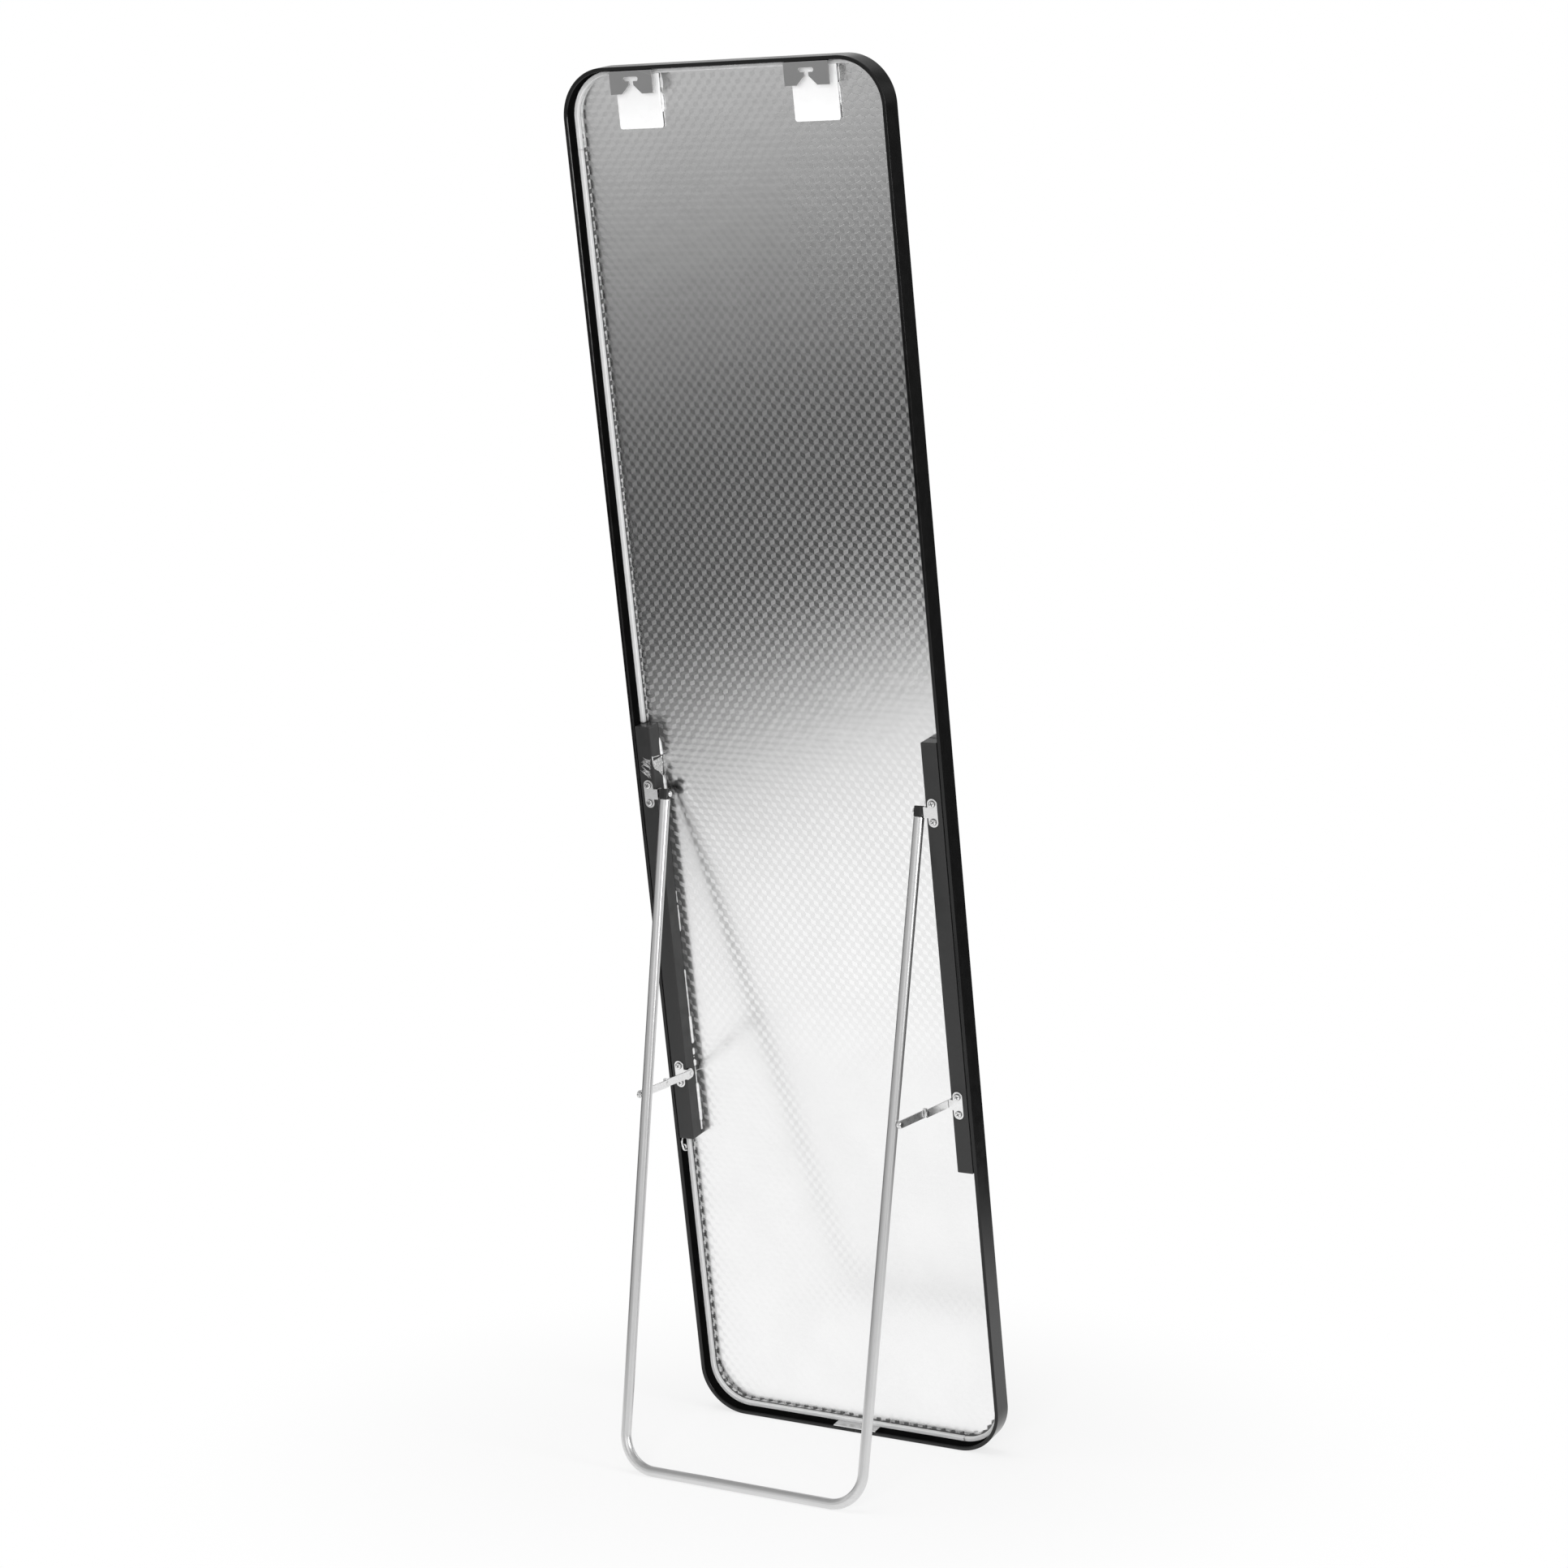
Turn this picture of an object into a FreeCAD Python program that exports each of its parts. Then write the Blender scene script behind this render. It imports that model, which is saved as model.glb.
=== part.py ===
import FreeCAD, Part
import math
import os
import Sketcher
from FreeCAD import Placement, Rotation, Vector

# Full-length floor mirror with a fold-out tube stand, seen here from its back.
# Every piece of the mirror is drawn in the mirror's own frame: X to the left as seen from
# behind, Y to the rear with the frame's rear rim at 0, Z up along the glass from its lower edge.
# Left and right are as seen from behind.

doc = FreeCAD.newDocument("floor_mirror")
sheet = doc.addObject("Spreadsheet::Sheet", "Sizes")

# Driving sizes in millimetres
DRIVING = {
    # frame loop
    "frame_width": 400.0,
    "frame_height": 1600.0,
    "frame_depth": 27.0,
    "corner_radius": 55.0,
    "wall": 4.5,
    "lip_width": 9.0,
    "lip_thickness": 1.8,
    "edge_round": 0.6,
    "seam_offset": 6.0,
    "seam_gap": 0.4,
    # splice plate behind the seam
    "splice_length": 56.0,
    "splice_width": 13.0,
    "splice_thickness": 1.0,
    "splice_set_back": 0.8,
    # glass, film and foam
    "glass_bed": 0.2,
    "glass_thickness": 5.0,
    "glass_fit": 0.5,
    "film_thickness": 0.3,
    "film_inset": 0.6,
    "foam_width": 5.0,
    "foam_height": 5.5,
    "foam_fit": 0.1,
    "foam_joint_gap": 0.6,
    "foam_joint_drop": 88.0,
    "foam_rail_gap": 0.5,
    # wall hangers and the pads behind them
    "hanger_inset": 91.3,
    "hanger_width": 54.0,
    "hanger_height": 24.8,
    "hanger_thickness": 1.5,
    "hanger_recess": 0.3,
    "hanger_fit": 0.2,
    "hanger_flange": 12.0,
    "slot_length": 18.2,
    "slot_height": 4.7,
    "slot_drop": 6.4,
    "neck_width": 5.4,
    "mouth_width": 25.2,
    "mouth_height": 9.6,
    "pad_width": 55.0,
    "pad_height": 58.6,
    "pad_thickness": 3.0,
    "pad_fit": 0.3,
    "pad_round": 3.0,
    "pad_shift_left": 2.3,
    "pad_shift_right": 0.1,
    # side rails and their end caps
    "rail_width": 19.6,
    "rail_wall": 1.2,
    "rail_round": 1.0,
    "rail_fit": 0.6,
    "rail_bed": 0.3,
    "rail_above_hinge": 80.0,
    "rail_below_stay": 82.5,
    "cap_thickness": 2.5,
    "cap_round": 1.2,
    "cap_stem": 12.0,
    "cap_fit": 0.15,
    "glue_width": 2.6,
    "glue_height": 2.2,
    # brackets and their screws
    "hinge_height": 778.0,
    "stay_height": 434.0,
    "pivot_depth": 4.0,
    "bracket_thickness": 1.5,
    "plate_width": 12.0,
    "plate_shift": 1.1,
    "screw_spacing": 20.8,
    "tab_height": 12.2,
    "ear_gap": 1.4,
    "ear_round": 5.6,
    "screw_radius": 2.0,
    "screw_head_radius": 4.1,
    "screw_head_height": 2.1,
    "screw_depth": 8.0,
    "recess_length": 4.8,
    "recess_width": 1.0,
    "recess_depth": 1.2,
    # pivots
    "pin_radius": 2.0,
    "pin_clearance": 0.05,
    "face_gap": 0.15,
    "pin_head_radius": 3.4,
    "pin_head_height": 1.8,
    "tail_radius": 3.0,
    "tail_height": 0.8,
    "low_head_height": 0.5,
    "leg_head_radius": 4.4,
    "leg_head_height": 1.6,
    "collar_radius": 3.4,
    # stand
    "tube_radius": 6.0,
    "tube_wall": 1.0,
    "bend_radius": 40.0,
    "bar_height": 7.1,
    "leg_taper": 11.0,
    "leg_inset": 6.9,
    "plug_width": 12.8,
    "plug_depth": 12.4,
    "plug_above": 5.6,
    "plug_below": 6.0,
    "plug_gap": 0.4,
    "plug_corner": 4.8,
    "plug_round": 1.0,
    "stem_fit": 0.35,
    "stem_length": 18.0,
    # folding stays
    "link_width": 9.0,
    "link_thickness": 1.5,
    "link_gap": 0.3,
    "layer_gap": 0.8,
    "link_front": 56.1,
    "rivet_below_ear": 2.0,
    "fold_clearance": 0.4,
    "stop_width": 3.6,
    "stop_height": 1.5,
    "stop_gap": 0.4,
}

# Sizes worked out from the driving ones
DERIVED = {
    "half_width": "frame_width / 2",
    "seat_half": "half_width - wall",
    "hanger_offset": "half_width - hanger_inset",
    "seat_top": "frame_height - wall",
    "seat_depth": "frame_depth - lip_thickness",
    "seat_radius": "corner_radius - wall",
    "view_half": "half_width - lip_width",
    "view_top": "frame_height - lip_width",
    "view_radius": "corner_radius - lip_width",
    "seam_far": "seam_offset + seam_gap / 2",
    "seam_near": "seam_offset - seam_gap / 2",
    "seam_top": "lip_width + 1",
    "seam_floor": "1",
    "splice_far": "seam_offset + splice_length / 2",
    "splice_near": "splice_length / 2 - seam_offset",
    "splice_top": "wall + splice_thickness",
    "glass_half": "seat_half - glass_fit",
    "glass_low": "wall + glass_fit",
    "glass_top": "frame_height - glass_low",
    "glass_radius": "seat_radius - glass_fit",
    "glass_depth": "film_depth + film_thickness",
    "film_depth": "seat_depth - glass_bed - glass_thickness - film_thickness",
    "film_half": "glass_half - film_inset",
    "film_low": "glass_low + film_inset",
    "film_top": "frame_height - film_low",
    "film_radius": "glass_radius - film_inset",
    "foam_half": "seat_half - foam_fit",
    "foam_low": "wall + foam_fit",
    "foam_top": "frame_height - foam_low",
    "foam_radius": "seat_radius - foam_fit",
    "foam_depth": "film_depth - foam_height",
    "foam_in_half": "foam_half - foam_width",
    "foam_in_low": "foam_low + foam_width",
    "foam_in_top": "foam_top - foam_width",
    "foam_in_radius": "foam_radius - foam_width",
    "foam_joint": "frame_height - foam_joint_drop",
    "foam_joint_top": "foam_joint + foam_joint_gap",
    "foam_end": "half_width - corner_radius",
    "foam_end_far": "foam_end + foam_joint_gap",
    "foam_above_rail": "rail_top + cap_thickness + foam_rail_gap",
    "foam_below_rail": "rail_low - cap_thickness - foam_rail_gap",
    "beyond_side": "half_width + 10",
    "beyond_top": "frame_height + 10",
    "beyond_low": "10",
    "hanger_top": "seat_top - hanger_fit",
    "hanger_low": "hanger_top - hanger_height",
    "hanger_half": "hanger_width / 2",
    "hanger_under": "hanger_top - hanger_thickness",
    "hanger_front": "hanger_recess + hanger_thickness",
    "slot_top": "hanger_top - slot_drop",
    "slot_low": "slot_top - slot_height",
    "slot_half": "slot_length / 2",
    "slot_round": "slot_height * 0.49",
    "neck_half": "neck_width / 2",
    "mouth_half": "mouth_width / 2",
    "mouth_top": "hanger_low + mouth_height",
    "pad_half": "pad_width / 2",
    "pad_top": "foam_in_top - pad_fit",
    "pad_low": "pad_top - pad_height",
    "pad_depth": "film_depth - pad_thickness",
    "rail_outer": "seat_half - rail_fit",
    "rail_inner": "rail_outer - rail_width",
    "rail_mid": "(rail_outer + rail_inner) / 2",
    "rail_front": "film_depth - rail_bed",
    "rail_hollow_outer": "rail_outer - rail_wall",
    "rail_hollow_inner": "rail_inner + rail_wall",
    "rail_hollow_front": "rail_front - rail_wall",
    "rail_top": "hinge_height + rail_above_hinge - cap_thickness",
    "rail_low": "stay_height - rail_below_stay + cap_thickness",
    "rail_length": "rail_top - rail_low",
    "rail_hole_depth": "rail_wall * 2",
    "stem_outer": "rail_hollow_outer - cap_fit",
    "stem_inner": "rail_hollow_inner + cap_fit",
    "stem_front": "rail_hollow_front - cap_fit",
    "stem_back": "rail_wall + cap_fit",
    "glue_inner": "rail_inner - glue_width",
    "glue_back": "film_depth - glue_height",
    "ear_outer": "rail_inner - ear_gap",
    "ear_inner": "ear_outer - bracket_thickness",
    "ear_reach": "pivot_depth + tab_height / 2",
    "tab_half": "tab_height / 2",
    "plate_mid": "rail_mid - plate_shift",
    "plate_outer": "plate_mid + plate_width / 2",
    "plate_inner": "plate_mid - plate_width / 2",
    "plate_half": "(screw_spacing + plate_width) / 2",
    "plate_round": "plate_width * 0.49",
    "screw_half": "screw_spacing / 2",
    "screw_hole": "screw_radius + pin_clearance",
    "head_round": "screw_head_height * 0.8",
    "recess_half": "recess_length / 2",
    "recess_side": "recess_width / 2",
    "pin_hole": "pin_radius + pin_clearance",
    "tail_start": "ear_outer + face_gap",
    "tail_end": "tail_start + tail_height",
    "plug_outer": "ear_inner - plug_gap",
    "plug_inner": "plug_outer - plug_width",
    "plug_half_depth": "plug_depth / 2",
    "plug_height": "plug_above + plug_below",
    "pin_head_end": "plug_inner - pin_head_height",
    "pin_head_round": "pin_head_height * 0.8",
    "leg_top": "plug_outer - leg_inset",
    "leg_length": "hinge_height - bar_height",
    "leg_low": "leg_top - leg_taper",
    "tube_bore": "tube_radius - tube_wall",
    "stem_radius": "tube_bore - stem_fit",
    "stem_full": "plug_below + stem_length",
    "rivet_drop": "hinge_height - stay_height + rivet_below_ear",
    "leg_at_rivet": "leg_top - leg_taper * rivet_drop / leg_length",
    "collar_start": "leg_at_rivet + tube_radius",
    "shank_start": "collar_start - tube_wall * 2",
    "rivet_hole_length": "tube_radius * 2",
    "link_half": "link_width / 2",
    "link_round": "link_width * 0.49",
    "front_outer": "ear_inner - link_gap",
    "front_inner": "front_outer - link_thickness",
    "back_outer": "front_inner - layer_gap",
    "back_inner": "back_outer - link_thickness",
    "front_end": "link_front + link_half",
    "ear_head_start": "front_inner - face_gap",
    "ear_head_end": "front_inner - low_head_height",
    "front_tail_end": "front_outer + tail_height",
    "knuckle_front_end": "front_inner - (layer_gap - link_gap) / 2",
    "knuckle_back_end": "back_outer + (layer_gap - link_gap) / 2",
    "back_head_end": "back_inner - low_head_height",
    "collar_end": "back_inner - face_gap",
    "leg_head_start": "back_outer + face_gap",
    "leg_head_end": "leg_head_start + leg_head_height",
    "leg_head_round": "leg_head_height * 0.8",
    "fold_gap": "link_half + leg_head_radius + fold_clearance",
    "stop_near": "link_front + 0.8",
    "stop_far": "stop_near + stop_width",
    "stop_low": "link_half + stop_gap",
    "stop_top": "stop_low + stop_height",
    "stop_reach": "front_outer - back_inner",
}

row = 0
for alias, number in DRIVING.items():
    row += 1
    sheet.set("A%d" % row, alias)
    sheet.set("B%d" % row, str(number))
    sheet.setAlias("B%d" % row, alias)
for alias, formula in DERIVED.items():
    row += 1
    sheet.set("A%d" % row, alias)
    sheet.setAlias("B%d" % row, alias)
    sheet.set("B%d" % row, "=" + formula)
doc.recompute()


# A named size may carry a minus sign in front, and "0" stands for the origin
def size(name):
    if name == "0":
        return 0.0
    if name.startswith("-"):
        return -float(getattr(sheet, name[1:]))
    return float(getattr(sheet, name))


def formula_of(name):
    if name.startswith("-"):
        return "-Sizes." + name[1:]
    return "Sizes." + name


def on_side(side, name):
    if side > 0:
        return name
    return name[1:] if name.startswith("-") else "-" + name


# Sketch helpers
def new_body(name):
    body = doc.addObject("PartDesign::Body", name)
    body.Label = name
    return body


def new_sketch(body, plane, offset="0"):
    sketch = body.newObject("Sketcher::SketchObject", body.Name + "_sketch")
    support = [f for f in body.Origin.OriginFeatures if f.Role == plane][0]
    sketch.AttachmentSupport = [(support, "")]
    sketch.MapMode = "FlatFace"
    if offset != "0":
        sketch.setExpression("AttachmentOffset.Base.z", formula_of(offset))
    return sketch


def pin_point(sketch, geometry, end, across, up):
    for kind, name, axis in (("DistanceX", across, -2), ("DistanceY", up, -1)):
        if name == "0":
            sketch.addConstraint(Sketcher.Constraint("PointOnObject", geometry, end, axis))
            continue
        index = sketch.addConstraint(
            Sketcher.Constraint(kind, -1, 1, geometry, end, size(name)))
        sketch.setExpression("Constraints[%d]" % index, formula_of(name))


def polygon(body, plane, points, offset="0"):
    sketch = new_sketch(body, plane, offset)
    spots = [Vector(size(across), size(up), 0) for across, up in points]
    count = len(points)
    for i in range(count):
        sketch.addGeometry(Part.LineSegment(spots[i], spots[(i + 1) % count]), False)
    for i in range(count):
        sketch.addConstraint(Sketcher.Constraint("Coincident", i, 2, (i + 1) % count, 1))
    for i, (across, up) in enumerate(points):
        pin_point(sketch, i, 1, across, up)
    return sketch


def rectangle(body, plane, left, right, low, high, offset="0"):
    corners = [(left, low), (right, low), (right, high), (left, high)]
    return polygon(body, plane, corners, offset)


def circles(body, plane, centres, radius, offset="0"):
    sketch = new_sketch(body, plane, offset)
    for i, (across, up) in enumerate(centres):
        spot = Vector(size(across), size(up), 0)
        sketch.addGeometry(Part.Circle(spot, Vector(0, 0, 1), size(radius)), False)
        pin_point(sketch, i, 3, across, up)
        index = sketch.addConstraint(Sketcher.Constraint("Radius", i, size(radius)))
        sketch.setExpression("Constraints[%d]" % index, formula_of(radius))
    return sketch


# Feature helpers
def pad(body, sketch, length, turned=False):
    feature = body.newObject("PartDesign::Pad", body.Name + "_pad")
    feature.Profile = sketch
    feature.setExpression("Length", formula_of(length))
    feature.Reversed = turned
    doc.recompute()
    return feature


def pocket(body, sketch, length=None):
    before = body.Shape.Volume
    feature = body.newObject("PartDesign::Pocket", body.Name + "_pocket")
    feature.Profile = sketch
    if length is None:
        feature.Type = "ThroughAll"
    else:
        feature.setExpression("Length", formula_of(length))
    doc.recompute()
    if not feature.isValid() or abs(body.Shape.Volume - before) < 1e-6:
        feature.Reversed = not feature.Reversed
        doc.recompute()
    return feature


def round_edges(body, radius, chosen):
    base = body.Tip
    names = []
    for number, edge in enumerate(base.Shape.Edges, 1):
        if chosen([vertex.Point for vertex in edge.Vertexes]):
            names.append("Edge%d" % number)
    feature = body.newObject("PartDesign::Fillet", body.Name + "_round")
    feature.Base = (base, names)
    feature.setExpression("Radius", formula_of(radius))
    doc.recompute()
    return feature


def turn(body, profile):
    sketch = polygon(body, "XY_Plane", profile)
    feature = body.newObject("PartDesign::Revolution", body.Name + "_turn")
    feature.Profile = sketch
    feature.ReferenceAxis = (sketch, ["H_Axis"])
    feature.Angle = 360.0
    doc.recompute()
    return feature


# Edge choosers, each given the end points of one edge
def near(a, b):
    return abs(a - b) < 0.01


def along(axis, **places):
    def chosen(points):
        if len(points) < 2:
            return False
        others = [a for a in "xyz" if a != axis]
        straight = all(near(getattr(points[0], a), getattr(points[1], a)) for a in others)
        here = all(any(near(getattr(points[0], a), spot) for spot in spots)
                   for a, spots in places.items())
        return straight and here
    return chosen


def ring_at(axis, spot):
    def chosen(points):
        return all(near(getattr(point, axis), spot) for point in points)
    return chosen


# Rest pose of the folding linkage, worked out from the link lengths and pivots
pivot_span = size("hinge_height") - size("stay_height")
rivet_drop = size("rivet_drop")
folded = math.asin(size("fold_gap") / rivet_drop)
link_front = size("link_front")
link_back = math.hypot(link_front + rivet_drop * math.cos(folded) - pivot_span, size("fold_gap"))
stay_span = link_front + link_back
opened = math.acos((pivot_span ** 2 + rivet_drop ** 2 - stay_span ** 2)
                   / (2 * pivot_span * rivet_drop))
stay_rise = math.atan2(pivot_span - rivet_drop * math.cos(opened), rivet_drop * math.sin(opened))

# The length of the rear link joins the sheet so that its sketch can use it
for alias, text in (("link_back", "%.6f" % link_back),
                    ("back_end", "=link_back + link_half")):
    row += 1
    sheet.set("A%d" % row, alias)
    sheet.setAlias("B%d" % row, alias)
    sheet.set("B%d" % row, text)
doc.recompute()

# Lean of the mirror when its rear lower edge and the stand's bar both touch the floor
bar_up = size("hinge_height") - size("leg_length") * math.cos(opened)
bar_rear = size("leg_length") * math.sin(opened) - size("pivot_depth")
edge = size("edge_round")
lean = (math.atan2(bar_up - edge, bar_rear + edge)
        - math.asin((size("tube_radius") - edge) / math.hypot(bar_up - edge, bar_rear + edge)))
drop = edge * (math.cos(lean) + math.sin(lean) - 1)
rear_reach = max(size("frame_height") * math.sin(lean),
                 bar_rear * math.cos(lean) + bar_up * math.sin(lean) + size("tube_radius"))
front_reach = -size("frame_depth") * math.cos(lean)
ACROSS = Vector(1, 0, 0)
LEAN = Placement(Vector(0, -(rear_reach + front_reach) / 2, -drop),
                 Rotation(ACROSS, -math.degrees(lean)))
STAND = LEAN * Placement(Vector(0, size("-pivot_depth"), size("hinge_height")),
                         Rotation(ACROSS, math.degrees(opened)))
STAY = LEAN * Placement(Vector(0, size("-pivot_depth"), size("stay_height")),
                        Rotation(ACROSS, math.degrees(stay_rise)))
LEG_RIVET = STAND * Placement(Vector(0, 0, -rivet_drop),
                              Rotation(ACROSS, 180 + math.degrees(stay_rise - opened)))
SIDES = (("left", 1), ("right", -1))
nodes = []


def finish(piece, place=LEAN):
    piece.Placement = place
    nodes.append(piece)


# Frame: one extruded loop with a front lip, round corners and a butt seam in the lower run
def make_frame():
    body = new_body("frame_loop")
    outline = rectangle(body, "XZ_Plane", "-half_width", "half_width", "0", "frame_height")
    pad(body, outline, "frame_depth")
    seat = rectangle(body, "XZ_Plane", "-seat_half", "seat_half", "wall", "seat_top")
    pocket(body, seat, "seat_depth")
    view = rectangle(body, "XZ_Plane", "-view_half", "view_half", "lip_width", "view_top")
    pocket(body, view)
    for half, low, top, radius in (("half_width", "0", "frame_height", "corner_radius"),
                                   ("seat_half", "wall", "seat_top", "seat_radius"),
                                   ("view_half", "lip_width", "view_top", "view_radius")):
        corners = along("y", x=(size(half), -size(half)), z=(size(low), size(top)))
        round_edges(body, radius, corners)
    round_edges(body, "edge_round", ring_at("y", 0.0))
    outer_front = size("-frame_depth")

    def outer_ring(points):
        if not ring_at("y", outer_front)(points):
            return False
        inside = size("view_half") + 1
        return any(abs(p.x) > inside or p.z < size("lip_width") - 1
                   or p.z > size("view_top") + 1 for p in points)

    round_edges(body, "edge_round", outer_ring)
    seam = rectangle(body, "XZ_Plane", "-seam_far", "-seam_near", "-seam_floor", "seam_top",
                     "-seam_floor")
    pocket(body, seam)
    finish(body)


def make_splice():
    body = new_body("splice_plate")
    strip = rectangle(body, "XZ_Plane", "-splice_far", "splice_near", "wall", "splice_top",
                      "splice_set_back")
    pad(body, strip, "splice_width")
    finish(body)


# Glass and film: flat plates with the corners of the frame's seat
def make_plate(name, half, low, top, radius, depth, thickness):
    body = new_body(name)
    outline = rectangle(body, "XZ_Plane", "-" + half, half, low, top, depth)
    pad(body, outline, thickness)
    corners = along("y", x=(size(half), -size(half)), z=(size(low), size(top)))
    round_edges(body, radius, corners)
    finish(body)


# Foam strip round the glass, in lengths that end at the rails and at two joints
def make_foam(name, beyond):
    body = new_body(name)
    outline = rectangle(body, "XZ_Plane", "-foam_half", "foam_half", "foam_low", "foam_top",
                        "foam_depth")
    pad(body, outline, "foam_height")
    inside = rectangle(body, "XZ_Plane", "-foam_in_half", "foam_in_half", "foam_in_low",
                       "foam_in_top", "foam_depth")
    pocket(body, inside, "foam_height")
    for half, low, top, radius in (
            ("foam_half", "foam_low", "foam_top", "foam_radius"),
            ("foam_in_half", "foam_in_low", "foam_in_top", "foam_in_radius")):
        corners = along("y", x=(size(half), -size(half)), z=(size(low), size(top)))
        round_edges(body, radius, corners)
    pocket(body, polygon(body, "XZ_Plane", beyond, "foam_depth"), "foam_height")
    finish(body)


def make_foam_lengths():
    make_foam("foam_strip_top", [
        ("-beyond_side", "-beyond_low"), ("beyond_side", "-beyond_low"),
        ("beyond_side", "foam_joint_top"), ("0", "foam_joint_top"),
        ("0", "foam_above_rail"), ("-beyond_side", "foam_above_rail")])
    make_foam("foam_strip_low", [
        ("-beyond_side", "-beyond_low"), ("-foam_end", "-beyond_low"),
        ("-foam_end", "foam_below_rail"), ("beyond_side", "foam_below_rail"),
        ("beyond_side", "beyond_top"), ("-beyond_side", "beyond_top")])
    make_foam("foam_strip_right", [
        ("-foam_end_far", "-beyond_low"), ("beyond_side", "-beyond_low"),
        ("beyond_side", "beyond_top"), ("-beyond_side", "beyond_top"),
        ("-beyond_side", "foam_below_rail"), ("-foam_end_far", "foam_below_rail")])
    body = new_body("foam_strip_left")
    bar = rectangle(body, "XZ_Plane", "foam_in_half", "foam_half", "foam_above_rail",
                    "foam_joint", "foam_depth")
    pad(body, bar, "foam_height")
    finish(body)


# Wall hanger: angle plate with a keyhole that widens to a mouth at its lower edge
def make_hanger(name, side):
    body = new_body(name)
    half = [("mouth_half", "hanger_low"), ("neck_half", "mouth_top"), ("neck_half", "slot_low"),
            ("slot_half", "slot_low"), ("slot_half", "slot_top")]
    keyhole = half + [("-" + across, up) for across, up in reversed(half)]
    outline = keyhole + [("-hanger_half", "hanger_low"), ("-hanger_half", "hanger_top"),
                         ("hanger_half", "hanger_top"), ("hanger_half", "hanger_low")]
    face = polygon(body, "XZ_Plane", outline, "hanger_recess")
    pad(body, face, "hanger_thickness")
    ends = along("y", x=(size("slot_half"), -size("slot_half")),
                 z=(size("slot_low"), size("slot_top")))
    round_edges(body, "slot_round", ends)
    flange = rectangle(body, "XZ_Plane", "-hanger_half", "hanger_half", "hanger_under",
                       "hanger_top", "hanger_front")
    pad(body, flange, "hanger_flange")
    finish(body, LEAN * Placement(Vector(side * size("hanger_offset"), 0, 0), Rotation()))


def make_pad(name, side, shift):
    body = new_body(name)
    outline = rectangle(body, "XZ_Plane", "-pad_half", "pad_half", "pad_low", "pad_top",
                        "pad_depth")
    pad(body, outline, "pad_thickness")
    corners = along("y", x=(size("pad_half"), -size("pad_half")), z=(size("pad_low"),))
    round_edges(body, "pad_round", corners)
    centre = side * (size("hanger_offset") + size(shift))
    finish(body, LEAN * Placement(Vector(centre, 0, 0), Rotation()))


# Side rails: square tubes glued to the film, with holes for the bracket screws
def make_rail(name, side):
    body = new_body(name)
    tube = rectangle(body, "XY_Plane", on_side(side, "rail_inner"), on_side(side, "rail_outer"),
                     "-rail_front", "0", "rail_low")
    pad(body, tube, "rail_length")
    round_edges(body, "rail_round", along("z", y=(0,)))
    hollow = rectangle(body, "XY_Plane", on_side(side, "rail_hollow_inner"),
                       on_side(side, "rail_hollow_outer"), "-rail_hollow_front", "-rail_wall",
                       "rail_low")
    pocket(body, hollow)
    for height in ("hinge_height", "stay_height"):
        holes = circles(body, "XZ_Plane", [
            (on_side(side, "plate_mid"), "screw_half"),
            (on_side(side, "plate_mid"), "-screw_half")], "screw_hole")
        holes.setExpression("AttachmentOffset.Base.y", formula_of(height))
        pocket(body, holes, "rail_hole_depth")
    finish(body)


def make_cap(name, side, height, inward):
    body = new_body(name)
    face = rectangle(body, "XY_Plane", on_side(side, "rail_inner"), on_side(side, "rail_outer"),
                     "-rail_front", "0", height)
    pad(body, face, "cap_thickness", turned=inward > 0)
    round_edges(body, "rail_round", along("z", y=(0,)))
    outside = size(height) - inward * size("cap_thickness")
    round_edges(body, "cap_round", ring_at("z", outside))
    stem = rectangle(body, "XY_Plane", on_side(side, "stem_inner"), on_side(side, "stem_outer"),
                     "-stem_front", "-stem_back", height)
    pad(body, stem, "cap_stem", turned=inward < 0)
    finish(body)


def make_glue(name, side):
    body = new_body(name)
    bead = polygon(body, "XY_Plane", [
        (on_side(side, "rail_inner"), "-film_depth"), (on_side(side, "glue_inner"), "-film_depth"),
        (on_side(side, "rail_inner"), "-glue_back")], "rail_low")
    pad(body, bead, "rail_length")
    finish(body)


# Brackets: a plate with two screw holes on the rail, and a tab bent down beside it as an ear
def make_bracket(name, side, height):
    body = new_body(name)
    tee = polygon(body, "XZ_Plane", [
        (on_side(side, "plate_outer"), "-plate_half"), (on_side(side, "plate_outer"), "plate_half"),
        (on_side(side, "plate_inner"), "plate_half"), (on_side(side, "plate_inner"), "tab_half"),
        (on_side(side, "ear_inner"), "tab_half"), (on_side(side, "ear_inner"), "-tab_half"),
        (on_side(side, "plate_inner"), "-tab_half"), (on_side(side, "plate_inner"), "-plate_half")])
    pad(body, tee, "bracket_thickness", turned=True)
    ends = along("y", x=(side * size("plate_outer"), side * size("plate_inner")),
                 z=(size("plate_half"), -size("plate_half")))
    round_edges(body, "plate_round", ends)
    ear = rectangle(body, "YZ_Plane", "-ear_reach", "bracket_thickness", "-tab_half", "tab_half",
                    on_side(side, "ear_inner"))
    pad(body, ear, "bracket_thickness", turned=side < 0)
    round_edges(body, "ear_round", along("x", y=(size("-ear_reach"),)))
    pivot = circles(body, "YZ_Plane", [("-pivot_depth", "0")], "pin_hole",
                    on_side(side, "rail_outer"))
    pocket(body, pivot)
    holes = circles(body, "XZ_Plane", [(on_side(side, "plate_mid"), "screw_half"),
                                       (on_side(side, "plate_mid"), "-screw_half")], "screw_hole")
    pocket(body, holes)
    finish(body, LEAN * Placement(Vector(0, 0, size(height)), Rotation()))


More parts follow.
